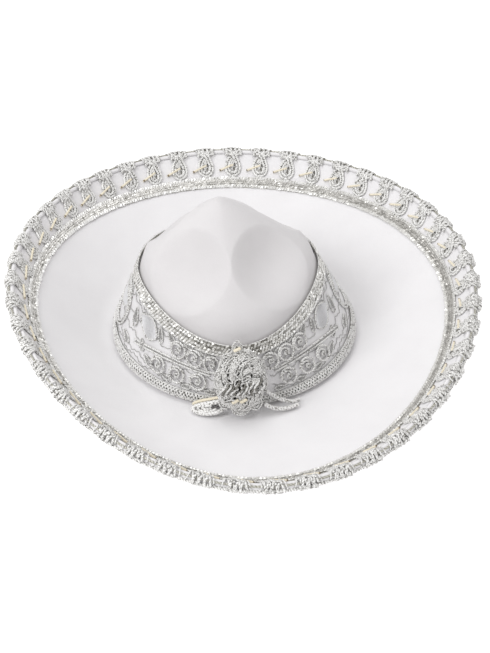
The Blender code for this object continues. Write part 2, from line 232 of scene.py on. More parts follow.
def brim_line(theta, s):
    """Straight from the opening (s = 0) to the fold (1) and from the fold to the rim (2).

    The height follows a power of the distance up to the fold, and the rim sways: higher at the sides
    (a cosine of twice the angle), at the back (a cosine) and on the left (a sine). Near the front the
    fold bulges outwards, by a power of half of one plus the cosine, so the wall is steeper there.
    """
    sway = -BACK_RISE * np.cos(theta) - SADDLE_RISE * np.cos(2.0 * theta) - SIDE_RISE * np.sin(theta)
    top = 2.0 * FELT + GAP
    opening = oval(theta, OPENING_HALF_WIDTH, OPENING_HALF_LENGTH, middle_x=CROWN_X)
    bulge = 1.0 + RING_BULGE * (0.5 + 0.5 * np.cos(theta - BULGE_ANGLE)) ** 3
    ring = oval(theta, RING_HALF_WIDTH * bulge, RING_HALF_LENGTH * bulge, BRIM_ROUNDNESS)
    rim = oval(theta, RIM_HALF_WIDTH, RIM_HALF_LENGTH, BRIM_ROUNDNESS)
    plate, wall = np.clip(s, 0.0, 1.0), np.maximum(s - 1.0, 0.0)
    dish = np.clip((plate - FLAT_SHARE) / (1.0 - FLAT_SHARE), 0.0, 1.0) ** DISH_POWER
    x = opening[0] + (ring[0] - opening[0]) * plate + (rim[0] - ring[0]) * wall
    y = opening[1] + (ring[1] - opening[1]) * plate + (rim[1] - ring[1]) * wall
    z = top + (RING_RISE + sway - top) * dish + (RIM_RISE - RING_RISE) * wall
    return np.stack([x, y, z], axis=-1)


def smoothed(line, theta, s, reach):
    """The mean of a surface at five places within this reach along s, which rounds its folds."""
    steps = np.linspace(-reach, reach, 5)
    return sum(line(theta, s + step) for step in steps) / len(steps)


def brim(theta, s):
    """The brim's upper surface, with its fold rounded."""
    return smoothed(brim_line, theta, s, FOLD_ROUNDING)


# %% The crown's surface
BASE_HALF_WIDTH, BASE_HALF_LENGTH = 0.1125, 0.1095
SHOULDER_HALF_WIDTH, SHOULDER_HALF_LENGTH = 0.0800, 0.0950
SHOULDER_ROUNDNESS = 1.76
SHOULDER_RISE, SHOULDER_SADDLE = 0.0700, 0.0092
CROWN_LEAN, CROWN_FELT = -0.0056, 0.0020
UPRIGHT_SHARE, UPRIGHT_TUCK, UPRIGHT_HEIGHT = 0.18, 0.06, 0.22
PEAK_X, PEAK_RISE = CROWN_X - 0.0130, 0.1520
PEAK_ROUNDING, SHOULDER_ROUNDING = 0.10, 0.07
DENT_ANGLES = (47.0, 133.0, 227.0, 313.0)
DENT_REACH, DENT_RADIUS, DENT_DEPTH = 0.40, 0.040, 0.013


def crown_line(theta, s):
    """Straight from the base (s = 0) to the band's top (1), then nearly upright, then up to the peak (2).

    The last stretch ends in a rounded point: the height falls as a square root, like a hyperbola's.
    """
    base = oval(theta, BASE_HALF_WIDTH, BASE_HALF_LENGTH, middle_x=CROWN_X)
    middle_x = CROWN_X + CROWN_LEAN
    shoulder = oval(theta, SHOULDER_HALF_WIDTH, SHOULDER_HALF_LENGTH, SHOULDER_ROUNDNESS, middle_x)
    wall, cap = np.minimum(s, 1.0), np.clip(s - 1.0, 0.0, 1.0)
    upright = np.minimum(cap / UPRIGHT_SHARE, 1.0)
    slope = np.clip((cap - UPRIGHT_SHARE) / (1.0 - UPRIGHT_SHARE), 0.0, 1.0)
    inward = 1.0 - UPRIGHT_TUCK * upright - (1.0 - UPRIGHT_TUCK) * slope
    tip = math.sqrt(1.0 + PEAK_ROUNDING**2) - PEAK_ROUNDING
    rounded = (np.sqrt((1.0 - slope) ** 2 + PEAK_ROUNDING**2) - PEAK_ROUNDING) / tip
    height = UPRIGHT_HEIGHT * upright + (1.0 - UPRIGHT_HEIGHT) * (1.0 - rounded)
    edge = SHOULDER_RISE - SHOULDER_SADDLE * np.cos(2.0 * theta)
    foot = 2.0 * FELT + 2.0 * GAP + CROWN_FELT * 0.45
    low_x = base[0] + (shoulder[0] - base[0]) * wall
    low_y = base[1] + (shoulder[1] - base[1]) * wall
    high_x = PEAK_X + (shoulder[0] - PEAK_X) * inward
    x = np.where(s > 1.0, high_x, low_x)
    y = np.where(s > 1.0, shoulder[1] * inward, low_y)
    z = np.where(s > 1.0, edge + (PEAK_RISE - edge) * height, foot + (edge - foot) * wall)
    return np.stack([x, y, z], axis=-1)


def crown(theta, s):
    """The rounded crown with four dents: each pushes points in by its depth times (1 - distance^2)^1.3."""
    points = smoothed(crown_line, theta, s, SHOULDER_ROUNDING)
    for turn in np.radians(DENT_ANGLES):
        centre = crown_line(turn, np.array(1.0 + DENT_REACH))
        outward = np.array([math.sin(turn), -math.cos(turn), 0.9])
        press = -outward / np.linalg.norm(outward)
        away = np.linalg.norm(points - centre, axis=-1, keepdims=True) / DENT_RADIUS
        points = points + press * DENT_DEPTH * np.clip(1.0 - away**2, 0.0, 1.0) ** 1.3
    return points


def unit(vectors):
    """Vectors of length one."""
    return vectors / np.maximum(np.linalg.norm(vectors, axis=-1, keepdims=True), 1e-12)


def normal(surface, theta, s):
    """The direction square to a surface: the cross product of its two slopes, turned to look up."""
    step = 1e-4
    along = surface(theta, s + step) - surface(theta, s - step)
    around = surface(theta + step, s) - surface(theta - step, s)
    square = unit(np.cross(around, along))
    return square * np.sign(square[..., 2].mean())


def laid(surface, theta, s, lift):
    """Points at this height above a surface, and the upward direction at each."""
    theta, s, lift = np.broadcast_arrays(theta, s, lift)
    up = normal(surface, theta, s)
    return surface(theta, s) + lift[..., None] * up, up


def all_round(count):
    """This many angles spread evenly over one turn."""
    return np.linspace(0.0, TURN, count, endpoint=False)


turns = np.linspace(0.0, TURN, 721)
brim_edge = brim(turns, np.full(turns.shape, 1.9)).max(axis=0)
print("crown peak", crown(0.0, np.array(2.0)).round(4), "CAD", np.round(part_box("crown_felt")[1], 4))

# %% [markdown]
# ## From arrays to meshes
# A grid of points becomes quads by index arithmetic alone. The same arithmetic gives the UV map: each
# corner knows its row and its column, counted on past a closed side, so the map has no smeared seam.
# The signed volume of the finished mesh tells whether its faces look out, and turns them if they don't.


# %% Mesh helpers
def quads_of(rows, columns, close_rows, close_columns):
    """The quads of a grid, and each corner's row and column, counted on past a closed side."""
    i = np.arange(rows if close_rows else rows - 1)[:, None, None]
    j = np.arange(columns if close_columns else columns - 1)[None, :, None]
    row, column = np.broadcast_arrays(i + np.array([0, 0, 1, 1]), j + np.array([0, 1, 1, 0]))
    return (row % rows * columns + column % columns).reshape(-1, 4), row.reshape(-1, 4), column.reshape(-1, 4)


def mesh_piece(name, points, faces, corner_uv, material, slot, body="root", stands_for=(), reflection_tone=None):
    """An object from points and a list of face arrays, each of one corner count, with a UV per corner."""
    corners = np.concatenate([part.reshape(-1) for part in faces])
    sizes = np.concatenate([np.full(len(part), part.shape[1]) for part in faces])
    starts = np.concatenate([[0], np.cumsum(sizes)[:-1]])
    first = np.repeat(corners[starts], sizes)
    after = np.arange(len(corners)) + 1
    after[starts + sizes - 1] = starts
    volume = np.einsum("ij,ij->i", points[first], np.cross(points[corners], points[corners[after]])).sum()
    if volume < 0.0:
        # Each face's corners are read backwards, which turns the whole piece right side out.
        order = np.repeat(2 * starts + sizes - 1, sizes) - np.arange(len(corners))
        corners, corner_uv = corners[order], corner_uv[order]
    mesh = bpy.data.meshes.new(name)
    mesh.vertices.add(len(points))
    mesh.vertices.foreach_set("co", points.astype(np.float32).ravel())
    mesh.loops.add(len(corners))
    mesh.loops.foreach_set("vertex_index", corners.astype(np.int32))
    mesh.polygons.add(len(sizes))
    mesh.polygons.foreach_set("loop_start", starts.astype(np.int32))
    mesh.polygons.foreach_set("use_smooth", np.ones(len(sizes), bool))
    mesh.uv_layers.new(name="UVMap").data.foreach_set("uv", corner_uv.astype(np.float32).ravel())
    if reflection_tone is not None:
        mesh.attributes.new("reflection_tone", "FLOAT", "POINT").data.foreach_set("value", reflection_tone.astype(np.float32))
    mesh.update(calc_edges=True)
    mesh.validate()
    mesh.materials.append(material)
    obj = bpy.data.objects.new(name, mesh)
    bpy.context.scene.collection.objects.link(obj)
    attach(obj, body)
    if stands_for:
        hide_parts(*stands_for)
    print(f"{name}: {sum(len(part) * (part.shape[1] - 2) for part in faces)} triangles")
    return obj


def distances(points, axis):
    """How far along a row of points each one lies, from 0, in metres."""
    steps = np.linalg.norm(np.diff(points, axis=axis), axis=-1)
    start = np.zeros_like(np.take(steps, [0], axis=axis))
    return np.concatenate([start, np.cumsum(steps, axis=axis)], axis=axis)


def shell(name, surface, rows, low, high, columns, material, **facts):
    """A closed layer round the hat: the top's rows, then the bottom's rows backwards, joined in a ring."""
    theta = all_round(columns)[None, :]
    rows = np.asarray(rows)[:, None]
    points = np.concatenate([laid(surface, theta, rows, high)[0], laid(surface, theta, rows[::-1], low)[0]])
    quads, row, column = quads_of(len(points), columns, True, True)
    middle = points.mean(axis=1)
    across = np.append(distances(points[:, 0], 0), 0.0)
    girth = np.linalg.norm(np.diff(points[0], axis=0, append=points[0, :1]), axis=-1).sum()
    uv = np.stack([column * (girth / columns), across[row]], axis=-1).reshape(-1, 2)
    print(f"  {name} lies between heights {middle[:, 2].min():.3f} and {middle[:, 2].max():.3f}")
    return mesh_piece(name, points.reshape(-1, 3), [quads], uv, material, **facts)


# %% [markdown]
# ## The crown and the brim
# The crown is one skin that runs from the peak down the outside, round the foot and up the inside, so
# it is a closed shell with a pole at each end. The brim is two felts, one on the other. Each is a closed
# ring. Rows are set closer where the felt bends: at the fold, at the shoulder and in the dents.


# %% Felt pieces
CROWN_COLUMNS, BRIM_COLUMNS = 320, 480


def dome(name, surface, rows, low, high, columns, material, **facts):
    """A closed cap: outside from the peak to the foot, inside back up, each end closed by a fan."""
    theta = all_round(columns)[None, :]
    rows = np.asarray(rows)[:, None]
    points = np.concatenate([laid(surface, theta, rows[::-1], high)[0], laid(surface, theta, rows, low)[0]])
    quads, row, column = quads_of(len(points), columns, False, True)
    across = distances(points[:, 0], 0)
    foot = points[len(rows)]
    girth = np.linalg.norm(np.diff(foot, axis=0, append=foot[:1]), axis=-1).sum()
    uv = np.stack([column * (girth / columns), across[row]], axis=-1).reshape(-1, 2)
    around = np.arange(columns)
    ahead = (around + 1) % columns
    last = (len(points) - 1) * columns
    tops = points[[0, -1]].mean(axis=1)
    first_fan = np.stack([np.full(columns, points[:, 0].size // 3 * columns), ahead, around], axis=-1)
    last_fan = np.stack([first_fan[:, 0] + 1, last + around, last + ahead], axis=-1)
    fans = np.concatenate([first_fan, last_fan])
    fan_uv = np.zeros((fans.size, 2))
    points = np.concatenate([points.reshape(-1, 3), tops])
    return mesh_piece(name, points, [quads, fans], np.concatenate([uv, fan_uv]), material, **facts)


def rows_through(*stops):
    """Rows from stretches of (start, end, count), each of which leaves out its end."""
    return np.concatenate([np.linspace(start, end, count, endpoint=False) for start, end, count in stops])


crown_rows = np.append(rows_through((0.0, 0.85, 14), (0.85, 1.30, 34), (1.30, 1.985, 60)), 1.992)
dome(
    "crown", crown, crown_rows, -CROWN_FELT, 0.0, CROWN_COLUMNS, crown_felt,
    stands_for=["crown_felt"], slot="white_felt",
)
brim_rows = rows_through((0.0, 0.24, 8), (0.24, 0.88, 26), (0.88, 1.12, 18), (1.12, 1.90, 16))
brim_rows = np.append(brim_rows, 1.90)
shell(
    "brim_top", brim, brim_rows, -FELT, 0.0, BRIM_COLUMNS, white_felt,
    stands_for=["brim_upper_felt"], slot="white_felt",
)
shell(
    "brim_under", brim, brim_rows, -2.0 * FELT - GAP, -FELT - GAP, BRIM_COLUMNS, under_felt,
    stands_for=["brim_lower_felt"], slot="white_felt",
)

# %% [markdown]
# ## Thread, foil, satin and cotton
# Silver yarn is a bright foil wound round a core, so it is part metal and part cloth. Its plies run in
# spirals: a sine of the turn round the cord plus the length along it draws them, from the UV map, in the
# bump and in the colour, which is painted darker in the grooves as painted shade. A fine noise paints
# glints on the yarn, and on some yarns small spots are painted nearly black as painted reflections of the
# dark room. Foil flakes are part metal too, and what makes them sparkle is that each leans its own way and
# has its own painted tone, a painted reflection that is raised towards bright where a painted highlight
# falls. Satin is smooth with faint rows, and cotton is matt and warm.


# %% Trim finishes
def thread_paint(name, pale, shade, pitch, metallic, painted_reflection_specks=0.0):
    """Yarn with spiral plies: the UV map's x is the turn round the cord and y the length along it.

    Its colour is painted darker in the grooves between the plies, as painted shade, and a fine noise paints
    glints on it. The last number says how strongly small spots are painted nearly black: painted reflections
    of the dark room in the foil.
    """
    thread = Paint(name, Metallic=metallic, Specular_IOR_Level=0.6, Sheen_Weight=0.1)
    around, along = thread.strip()
    plies = (around * (2.0 * TURN) + along * (TURN / pitch)).sine()
    fibres = (around * (9.0 * TURN) + along * (2.0 * TURN / pitch)).sine()
    glint_noise = thread.noise(thread.place(), 1100.0, 2.0, 0.6)
    # The colour is painted light and shade: darker in the grooves between the plies, and glints where the
    # noise is high.
    bright = (plies * 0.22 + fibres * 0.12 + glint_noise * 1.3).between(0.25, 0.85)
    colour = thread.mix(bright, shade, pale)
    # Painted reflections: small spots painted nearly black, where the foil would mirror the dark room.
    if painted_reflection_specks:
        reflection_spots = thread.noise(thread.place(), 620.0, 1.0).between(0.58, 0.64) * painted_reflection_specks
        colour = thread.mix(reflection_spots, colour, (0.13, 0.12, 0.10))
    thread.feed("Base Color", colour)
    thread.feed("Roughness", glint_noise * 0.35 + 0.18)
    thread.bump(plies * 0.6 + fibres * 0.4, 0.00018, 0.7)
    return thread.material


def foil_paint(name, pale, shade):
    """Foil whose tone is a number kept on each flake, from dark to bright."""
    foil = Paint(name, Metallic=0.4)
    # The tone paints each flake's reflection: from the dark room at 0 to the lights at 1.
    reflection_tone = foil.node("ShaderNodeAttribute", {"attribute_name": "reflection_tone"}, {}, "Fac")
    scratch = foil.noise(foil.place(), 1500.0, 2.0)
    foil.feed("Base Color", foil.mix(reflection_tone * 0.85 + scratch * 0.15, shade, pale))
    foil.feed("Roughness", scratch * 0.3 + 0.12)
    foil.bump(scratch, 0.0001, 0.5)
    return foil.material


def cloth_paint(name, pale, shade, rows, roughness):
    """Woven tape: two crossing sines of the UV map, which is in metres, with this many rows to a metre."""
    cloth = Paint(name, Specular_IOR_Level=0.35, Sheen_Weight=0.3, Sheen_Roughness=0.4)
    along, across = cloth.strip()
    weave = (along * (TURN * rows)).sine() * (across * (TURN * rows)).sine()
    clouds = cloth.noise(cloth.place(), 60.0, 4.0)
    cloth.feed("Base Color", cloth.mix((clouds + weave * 0.12).between(0.3, 0.7), shade, pale))
    cloth.feed("Roughness", clouds * 0.2 + roughness)
    cloth.bump(weave, 0.0001, 0.6)
    return cloth.material


silver_thread = thread_paint("silver_thread", (1.0, 1.0, 0.99), (0.66, 0.65, 0.62), 0.0030, 0.10, 0.75)
grey_thread = thread_paint("grey_thread", (0.72, 0.72, 0.71), (0.26, 0.25, 0.23), 0.0024, 0.5)
# A thread painted nearly black, as painted shade: it is laid under other cords and braids, where their gaps
# and creases are in shadow.
shade_thread = thread_paint("shade_thread", (0.30, 0.29, 0.26), (0.05, 0.045, 0.04), 0.0024, 0.3)
# The knot's thread is the same silver, painted with deeper shade in its grooves and more dark painted
# reflections.
knot_thread = thread_paint("knot_thread", (1.0, 1.0, 0.99), (0.46, 0.45, 0.42), 0.0024, 0.15, 0.85)
white_thread = thread_paint("white_thread", (0.90, 0.90, 0.91), (0.76, 0.76, 0.78), 0.0030, 0.0)
olive_thread = thread_paint("olive_thread", (0.62, 0.61, 0.55), (0.24, 0.23, 0.18), 0.0028, 0.5)
# Both foils are one silver foil painted in two ranges of reflection: the second one's darker end mirrors more
# of the dark room, as painted shade.
bright_foil = foil_paint("bright_foil", (1.0, 1.0, 0.99), (0.66, 0.65, 0.61))
shaded_foil = foil_paint("shaded_foil", (0.98, 0.97, 0.94), (0.12, 0.11, 0.09))
white_satin = cloth_paint("white_satin", (0.91, 0.90, 0.91), (0.80, 0.79, 0.80), 1400.0, 0.35)
cotton_twill = cloth_paint("cotton_twill", (0.80, 0.77, 0.69), (0.68, 0.65, 0.57), 900.0, 0.75)
print("trim finishes", [material.name for material in (silver_thread, bright_foil, white_satin)])

# %% [markdown]
# ## Cords
# A cord is a circle carried along a path. At each point of the path the circle stands in a small frame:
# along the path, sideways, and up from the felt. A twisted cord isn't round: its plies bulge, so its
# radius swells and sinks with the turn, and the swelling moves round as the cord runs on. All the cords
# of one trim are worked out as one array, and each gets a flat cap on both ends.


# %% Cord helper
def cords(name, paths, ups, radius, material, sides=6, twist=None, closed=False, **facts):
    """Round cords along paths, an array of (cord, point, 3). ups is the upward direction at each point.

    twist is (plies, pitch, depth): the radius is scaled by 1 - depth + depth * |cos(plies / 2 * turned)|,
    where turned is the angle round the cord less a full turn for each pitch along it.
    """
    paths = np.asarray(paths, float)
    ups = np.broadcast_to(ups, paths.shape)
    count, n = paths.shape[:2]
    ahead = np.roll(paths, -1, axis=1) - np.roll(paths, 1, axis=1) if closed else np.gradient(paths, axis=1)
    along = unit(ahead)
    side = unit(np.cross(along, ups))
    rise = np.cross(side, along)
    length = distances(np.concatenate([paths, paths[:, :1]], axis=1), 1)
    angle = all_round(sides)
    swell = np.broadcast_to(np.asarray(radius, float), paths.shape[:2])[..., None] + 0.0 * angle
    if twist:
        plies, pitch, depth = twist
        turned = angle - TURN * length[:, :n, None] / pitch
        swell = swell * (1.0 - depth + depth * abs(np.cos(plies / 2.0 * turned)))
    across, over = (swell * np.cos(angle))[..., None], (swell * np.sin(angle))[..., None]
    points = paths[:, :, None] + across * side[:, :, None] + over * rise[:, :, None]
    quads, row, column = quads_of(n, sides, closed, True)
    cord = np.arange(count)[:, None, None]
    faces = [(quads + cord * n * sides).reshape(-1, 4)]
    uv = np.stack(np.broadcast_arrays(column / sides, length[cord, row]), axis=-1).reshape(-1, 2)
    if not closed:
        first = np.arange(sides)[::-1] + np.arange(count)[:, None] * n * sides
        faces += [first, first[:, ::-1] + (n - 1) * sides]
        uv = np.concatenate([uv, np.zeros((2 * count * sides, 2))])
    facts.setdefault("slot", "silver_thread")
    return mesh_piece(name, points.reshape(-1, 3), faces, uv, material, **facts)


def through(stops, count):
    """Points on the smooth curve through a route's stops: a cubic between each two, whose slope at a stop
    is half the step between the stops on both sides of it."""
    stops = np.asarray(stops, float)
    ends = np.concatenate([[2.0 * stops[0] - stops[1]], stops, [2.0 * stops[-1] - stops[-2]]])
    place = np.linspace(0.0, len(stops) - 1.0, count)
    k = np.minimum(place.astype(int), len(stops) - 2)
    t = (place - k)[:, None]
    a, b, c, d = (ends[k + i] for i in range(4))
    square, cube = (2.0 * a - 5.0 * b + 4.0 * c - d) * t**2, (3.0 * b - a - 3.0 * c + d) * t**3
    return 0.5 * (2.0 * b + (c - a) * t + square + cube)


def paced(surface, s, count):
    """Angles that divide a ring of a surface into this many equal lengths."""
    theta = np.linspace(0.0, TURN, 1441)
    length = distances(surface(theta, np.full(theta.shape, s)), 0)
    return np.interp(np.arange(count) / count * length[-1], length, theta)


def slopes(surface, theta, s):
    """The steps on a surface per unit of the angle and per unit of s."""
    step = 1e-4
    around = (surface(theta + step, s) - surface(theta - step, s)) / (2.0 * step)
    return around, (surface(theta, s + step) - surface(theta, s - step)) / (2.0 * step)


print("rim length", distances(brim(turns, np.full(turns.shape, 2.0)), 0)[-1].round(3), "m")

# %% [markdown]
# ## The sequin ribbon on the fold
# A tape covers the fold of the brim. It is a strip of olive foil cloth with a row of folded foil on each
# edge and smaller flakes between; the edge rows are painted in a brighter range of reflection and the
# middle rows in a darker one, as painted light and shade. Each flake is a low pyramid on a skewed square,
# a few millimetres wide, and leans at random: a flat strip with a bump map would shine evenly, and it is
# the leaning, with each flake's painted tone, that makes some flakes white and their neighbours dark.


# %% Foil flakes
def gleam(theta, middle, power):
    """1 at one angle, falling off round the hat as a power of half of one plus the cosine."""
    return (0.5 + 0.5 * np.cos(theta - middle)) ** power


def flakes(name, surface, theta, s, lift, shape, lean, seed, glow, material, spread=1.0):
    """Low skewed pyramids on a surface, each turned by a random lean.

    shape is (half length, half width, height). The tone is painted reflection: random from 0 to 1, and glow,
    from 0 to 1, a painted highlight, moves it towards bright. spread is the share of the randomness that a
    flake keeps, in its lean and in its tone.
    """
    half_length, half_width, height = shape
    draw = np.random.default_rng(seed)
    theta, s, lift = (part.ravel() for part in np.broadcast_arrays(theta, s, lift))
    count = len(theta)
    around, outward = slopes(surface, theta, s)
    up = normal(surface, theta, s)
    along = unit(around)
    spread = np.broadcast_to(spread, count)
    sideways, forwards = draw.normal(0.0, lean, (2, count, 1)) * spread[:, None]
    up = unit(up + sideways * along + forwards * unit(outward))
    across = unit(np.cross(up, along))
    along = np.cross(across, up)
    spot = laid(surface, theta, s, lift)[0]
    sizes = draw.uniform(0.8, 1.15, (count, 1))
    skew = 0.35
    corners = [
        spot + sizes * (half_length * (a + skew * b) * along + half_width * b * across)
        for a, b in ((-1, -1), (1, -1), (1, 1), (-1, 1))
    ]
    points = np.stack([*corners, spot + height * up, spot - 0.4 * height * up], axis=1)
    ring = [(i, (i + 1) % 4) for i in range(4)]
    pattern = np.array([(i, k, 4) for i, k in ring] + [(k, i, 5) for i, k in ring])
    faces = (pattern + 6 * np.arange(count)[:, None, None]).reshape(-1, 3)
    # Each flake's tone is painted: a random dark or bright reflection, raised towards bright by the painted
    # highlight where glow is high.
    luck = 0.5 + draw.uniform(-0.5, 0.5, count) * spread
    reflection_tone = np.repeat(np.clip(luck * (1.0 - 0.5 * glow) + 0.8 * glow - 0.10, 0.0, 1.0), 6)
    uv = np.zeros((faces.size, 2))
    flake = mesh_piece(name, points.reshape(-1, 3), [faces], uv, material, "silver_sequin", reflection_tone=reflection_tone)
    flake.data.polygons.foreach_set("use_smooth", np.zeros(len(faces), bool))


# %% Sequin ribbon
RIBBON_START, RIBBON_END = 0.955, 1.175
EDGE_FLAKE, MIDDLE_FLAKE = (0.00150, 0.00155, 0.0012), (0.00125, 0.0011, 0.0009)
# The ribbon is painted brightest at the back left, a painted highlight. Its foil lies flattest on the right,
# and shines evenly there.
RIBBON_GLOW, RIBBON_LOOSE = math.radians(-142.0), math.radians(-115.0)
ribbon_rows = np.linspace(RIBBON_START, RIBBON_END, 14)
shell(
    "ribbon_tape", brim, ribbon_rows, 0.0002, 0.0007, BRIM_COLUMNS, olive_thread,
    stands_for=["sequin_ribbon"], slot="silver_sequin",
)


def ribbon_row(name, theta, shift, s, lift, shape, lean, seed, power, material):
    """One row of the ribbon's flakes, which lean and change tone most where the foil is loose."""
    glow, spread = gleam(theta, RIBBON_GLOW, power), 0.28 + 0.72 * gleam(theta, RIBBON_LOOSE, 0.8)
    flakes(name, brim, theta + shift, s, lift, shape, lean, seed, glow, material, spread)


edge_theta, middle_theta = paced(brim, 1.0, 396), paced(brim, 1.0, 560)
for row_name, row_s, seed in (("inner", 0.968, 1), ("outer", 1.150, 2)):
    name = f"ribbon_{row_name}_row"
    ribbon_row(name, edge_theta, 0.0, row_s, 0.0014, EDGE_FLAKE, 0.24, seed, 2.0, bright_foil)
for row, row_s in enumerate((0.992, 1.026, 1.064, 1.104)):
    name = f"ribbon_middle_row_{row + 1}"
    ribbon_row(name, middle_theta, 0.004 * row, row_s, 0.0011, MIDDLE_FLAKE, 0.30, 10 + row, 2.4, shaded_foil)

# %% [markdown]
# ## The rim
# A hoop of wire in the edge keeps the wall round. A white binding is folded over it, a thin olive and
# silver cord is sewn along the edge, and a thick silver rope runs below it on the outside. The binding
# is an outline of a few points carried round the rim; wire, cord and rope are closed cords.


# %% Rim pieces
MIDDLE = -FELT - GAP / 2.0


def rim_place(theta, out, rise):
    """A point beyond the rim's edge: out along the wall's own slope, and rise square to it."""
    theta, out, rise = np.broadcast_arrays(theta, out, rise)
    edge = np.full(theta.shape, 2.0)
    outward = unit(slopes(brim, theta, edge)[1])
    return brim(theta, edge) + out[..., None] * outward + rise[..., None] * normal(brim, theta, edge)


rim_theta = all_round(960)
rim_up = normal(brim, rim_theta, np.full(rim_theta.shape, 2.0))
cords(
    "hoop_wire", rim_place(rim_theta, -0.0018, MIDDLE)[None], rim_up, 0.0008, grey_thread,
    closed=True, stands_for=["rim_hoop_wire"], slot="steel_wire",
)
# The binding's outline is (out, rise): a short flap on top, the rim's round edge, and a long flap below.
half, wall = 0.0028, 0.0006
outline = [
    (-0.0042, half), (-0.0010, half), (-0.0003, 0.75 * half), (0.0, 0.0), (-0.0003, -0.75 * half),
    (-0.0010, -half), (-0.0075, -half), (-0.0075, wall - half), (-0.0012, wall - half),
    (-0.0012, half - wall), (-0.0042, half - wall),
]
binding_theta = rim_theta[::2]
points = np.stack([rim_place(binding_theta, out, MIDDLE + rise) for out, rise in outline])
quads, row, column = quads_of(len(outline), len(binding_theta), True, True)
binding_uv = np.stack([column * 0.0029, row * 0.0025], axis=-1).reshape(-1, 2)
mesh_piece(
    "binding", points.reshape(-1, 3), [quads], binding_uv, white_felt, "white_satin",
    stands_for=["rim_binding"],
)
cords(
    "edge_cord", rim_place(rim_theta, 0.0009, MIDDLE)[None], rim_up, 0.0011, olive_thread,
    sides=8, twist=(2, 0.0065, 0.35), closed=True, stands_for=["rim_twisted_rope"],
)
cords(
    "rim_rope", rim_place(rim_theta, -0.0022, MIDDLE - 0.0040)[None], rim_up, 0.0020, knot_thread,
    sides=12, twist=(3, 0.0130, 0.38), closed=True,
)

# %% [markdown]
# ## The crocheted edging
# The edging is one motif repeated forty-seven times: three cords side by side come over the rim, cross
# like a pinned ribbon, run round a long loop and come back. A finer thread zigzags across them and holds
# them together. The motif is one list of stops, in millimetres along the rim and down from it, and the
# smooth curve through them is laid on the wall at each repeat.


# %% Edging motif
MOTIFS = 47
# A motif is this many metres tall, and takes this much of the wall's s.
MOTIF_TALL, MOTIF_DROP = 0.024, 0.72
MOTIF_ROUTE = (
    (-9, -1.5), (-6.5, 0.5), (-2, 3.5), (3, 7.5), (5.6, 13), (5.8, 18.5), (2.6, 22), (-2, 21.8), (-5.4, 18.5),
    (-5.6, 13), (-3.6, 7.5), (-1.5, 3.5), (3, 0.5), (6, -1.5),
)
FILLING_ROUTE = (
    (0, 6), (-1.6, 9.5), (1.4, 12), (2.0, 15), (-1.8, 15.5), (-1.6, 18.5), (1.6, 19), (0.2, 13), (0.6, 8),
)
SHADOW_ROUTE = ((0, 7), (0.4, 10), (-0.4, 14), (0.4, 19))
motif_theta = paced(brim, 1.6, MOTIFS)


def on_wall(theta, along, down, lift):
    """Points on the wall, and the upward direction there: metres along the rim from an angle, metres down
    from its edge, and a height above the felt."""
    s = 1.93 - down / MOTIF_TALL * MOTIF_DROP
    around = np.linalg.norm(slopes(brim, theta, np.full(np.shape(theta), 1.6))[0], axis=-1)
    return laid(brim, theta + along / around, s, lift)


def motif_strand(route, offset, count, wave, waves):
    """A route shifted sideways by an offset, and by a wave: (along, down, share of the way)."""
    route = through(route, count) / 1000.0
    ahead = unit(np.gradient(route, axis=0))
    share = np.linspace(0.0, 1.0, count)
    shift = offset + wave * np.sin(TURN * waves * share)
    return route[:, 0] - shift * ahead[:, 1], route[:, 1] + shift * ahead[:, 0], share


def edging(name, route, offsets, count, radius, lift, material, wave=0.0, waves=0, **facts):
    """The same strands laid on the wall at every motif. The later pass of the loop rides over the earlier."""
    strands = [motif_strand(route, offset, count, wave, waves) for offset in offsets]
    along, down, share = (np.stack(part)[None] for part in zip(*strands))
    over = 0.0016 * np.exp(-((share - 0.84) / 0.07) ** 2)
    paths, ups = on_wall(motif_theta[:, None, None], along, down, lift + over)
    cords(name, paths.reshape(-1, count, 3), ups.reshape(-1, count, 3), radius, material, **facts)


# %% Crocheted edging
edging(
    "edging_strands", MOTIF_ROUTE, (-0.0015, 0.0015), 60, 0.00115, 0.0014, silver_thread,
    sides=7, stands_for=["crochet_edging"],
)
# A dark strand under each motif's cords is painted shade: it darkens the gaps between them.
edging("edging_shade_strand", MOTIF_ROUTE, (0.0,), 44, 0.00095, 0.0007, shade_thread)
edging("edging_stitches", MOTIF_ROUTE, (0.0,), 150, 0.00045, 0.0021, silver_thread, 0.0019, 19, sides=5)
edging("edging_filling", FILLING_ROUTE, (-0.0007, 0.0007), 48, 0.00062, 0.0014, silver_thread)
edging("edging_shadow", SHADOW_ROUTE, (-0.0014, 0.0, 0.0014), 10, 0.00085, 0.0006, shade_thread)

# %% [markdown]
# Under each motif a stub of cream cotton cord shows. Where the motif comes over the rim, its cords are
# bunched and cross each other, so the rim has one lump to a motif, and the binding lies bare between two
# lumps but for an arc on each side. Below the edge the yarn makes a small picot. The lumps scallop the
# hat's outline.


# %% Stubs, wraps and picots
def cotton_paint(name, cut_end=None):
    """Cream cotton with spiral fibres, and a brown cut end past this length where one is given."""
    cotton = Paint(name, Sheen_Weight=0.2)
    around, along = cotton.strip()
    fibre = (around * (6.0 * TURN) + along * 4000.0).sine()
    colour = cotton.mix(fibre.between(-1.0, 1.0), (0.80, 0.72, 0.54), (0.95, 0.89, 0.75))
    if cut_end:
        colour = cotton.mix(along.between(cut_end, cut_end + 0.001), colour, (0.22, 0.16, 0.09))
    cotton.feed("Base Color", colour)
    cotton.feed("Roughness", fibre * 0.05 + 0.75)
    cotton.bump(fibre, 0.0001, 0.6)
    return cotton.material


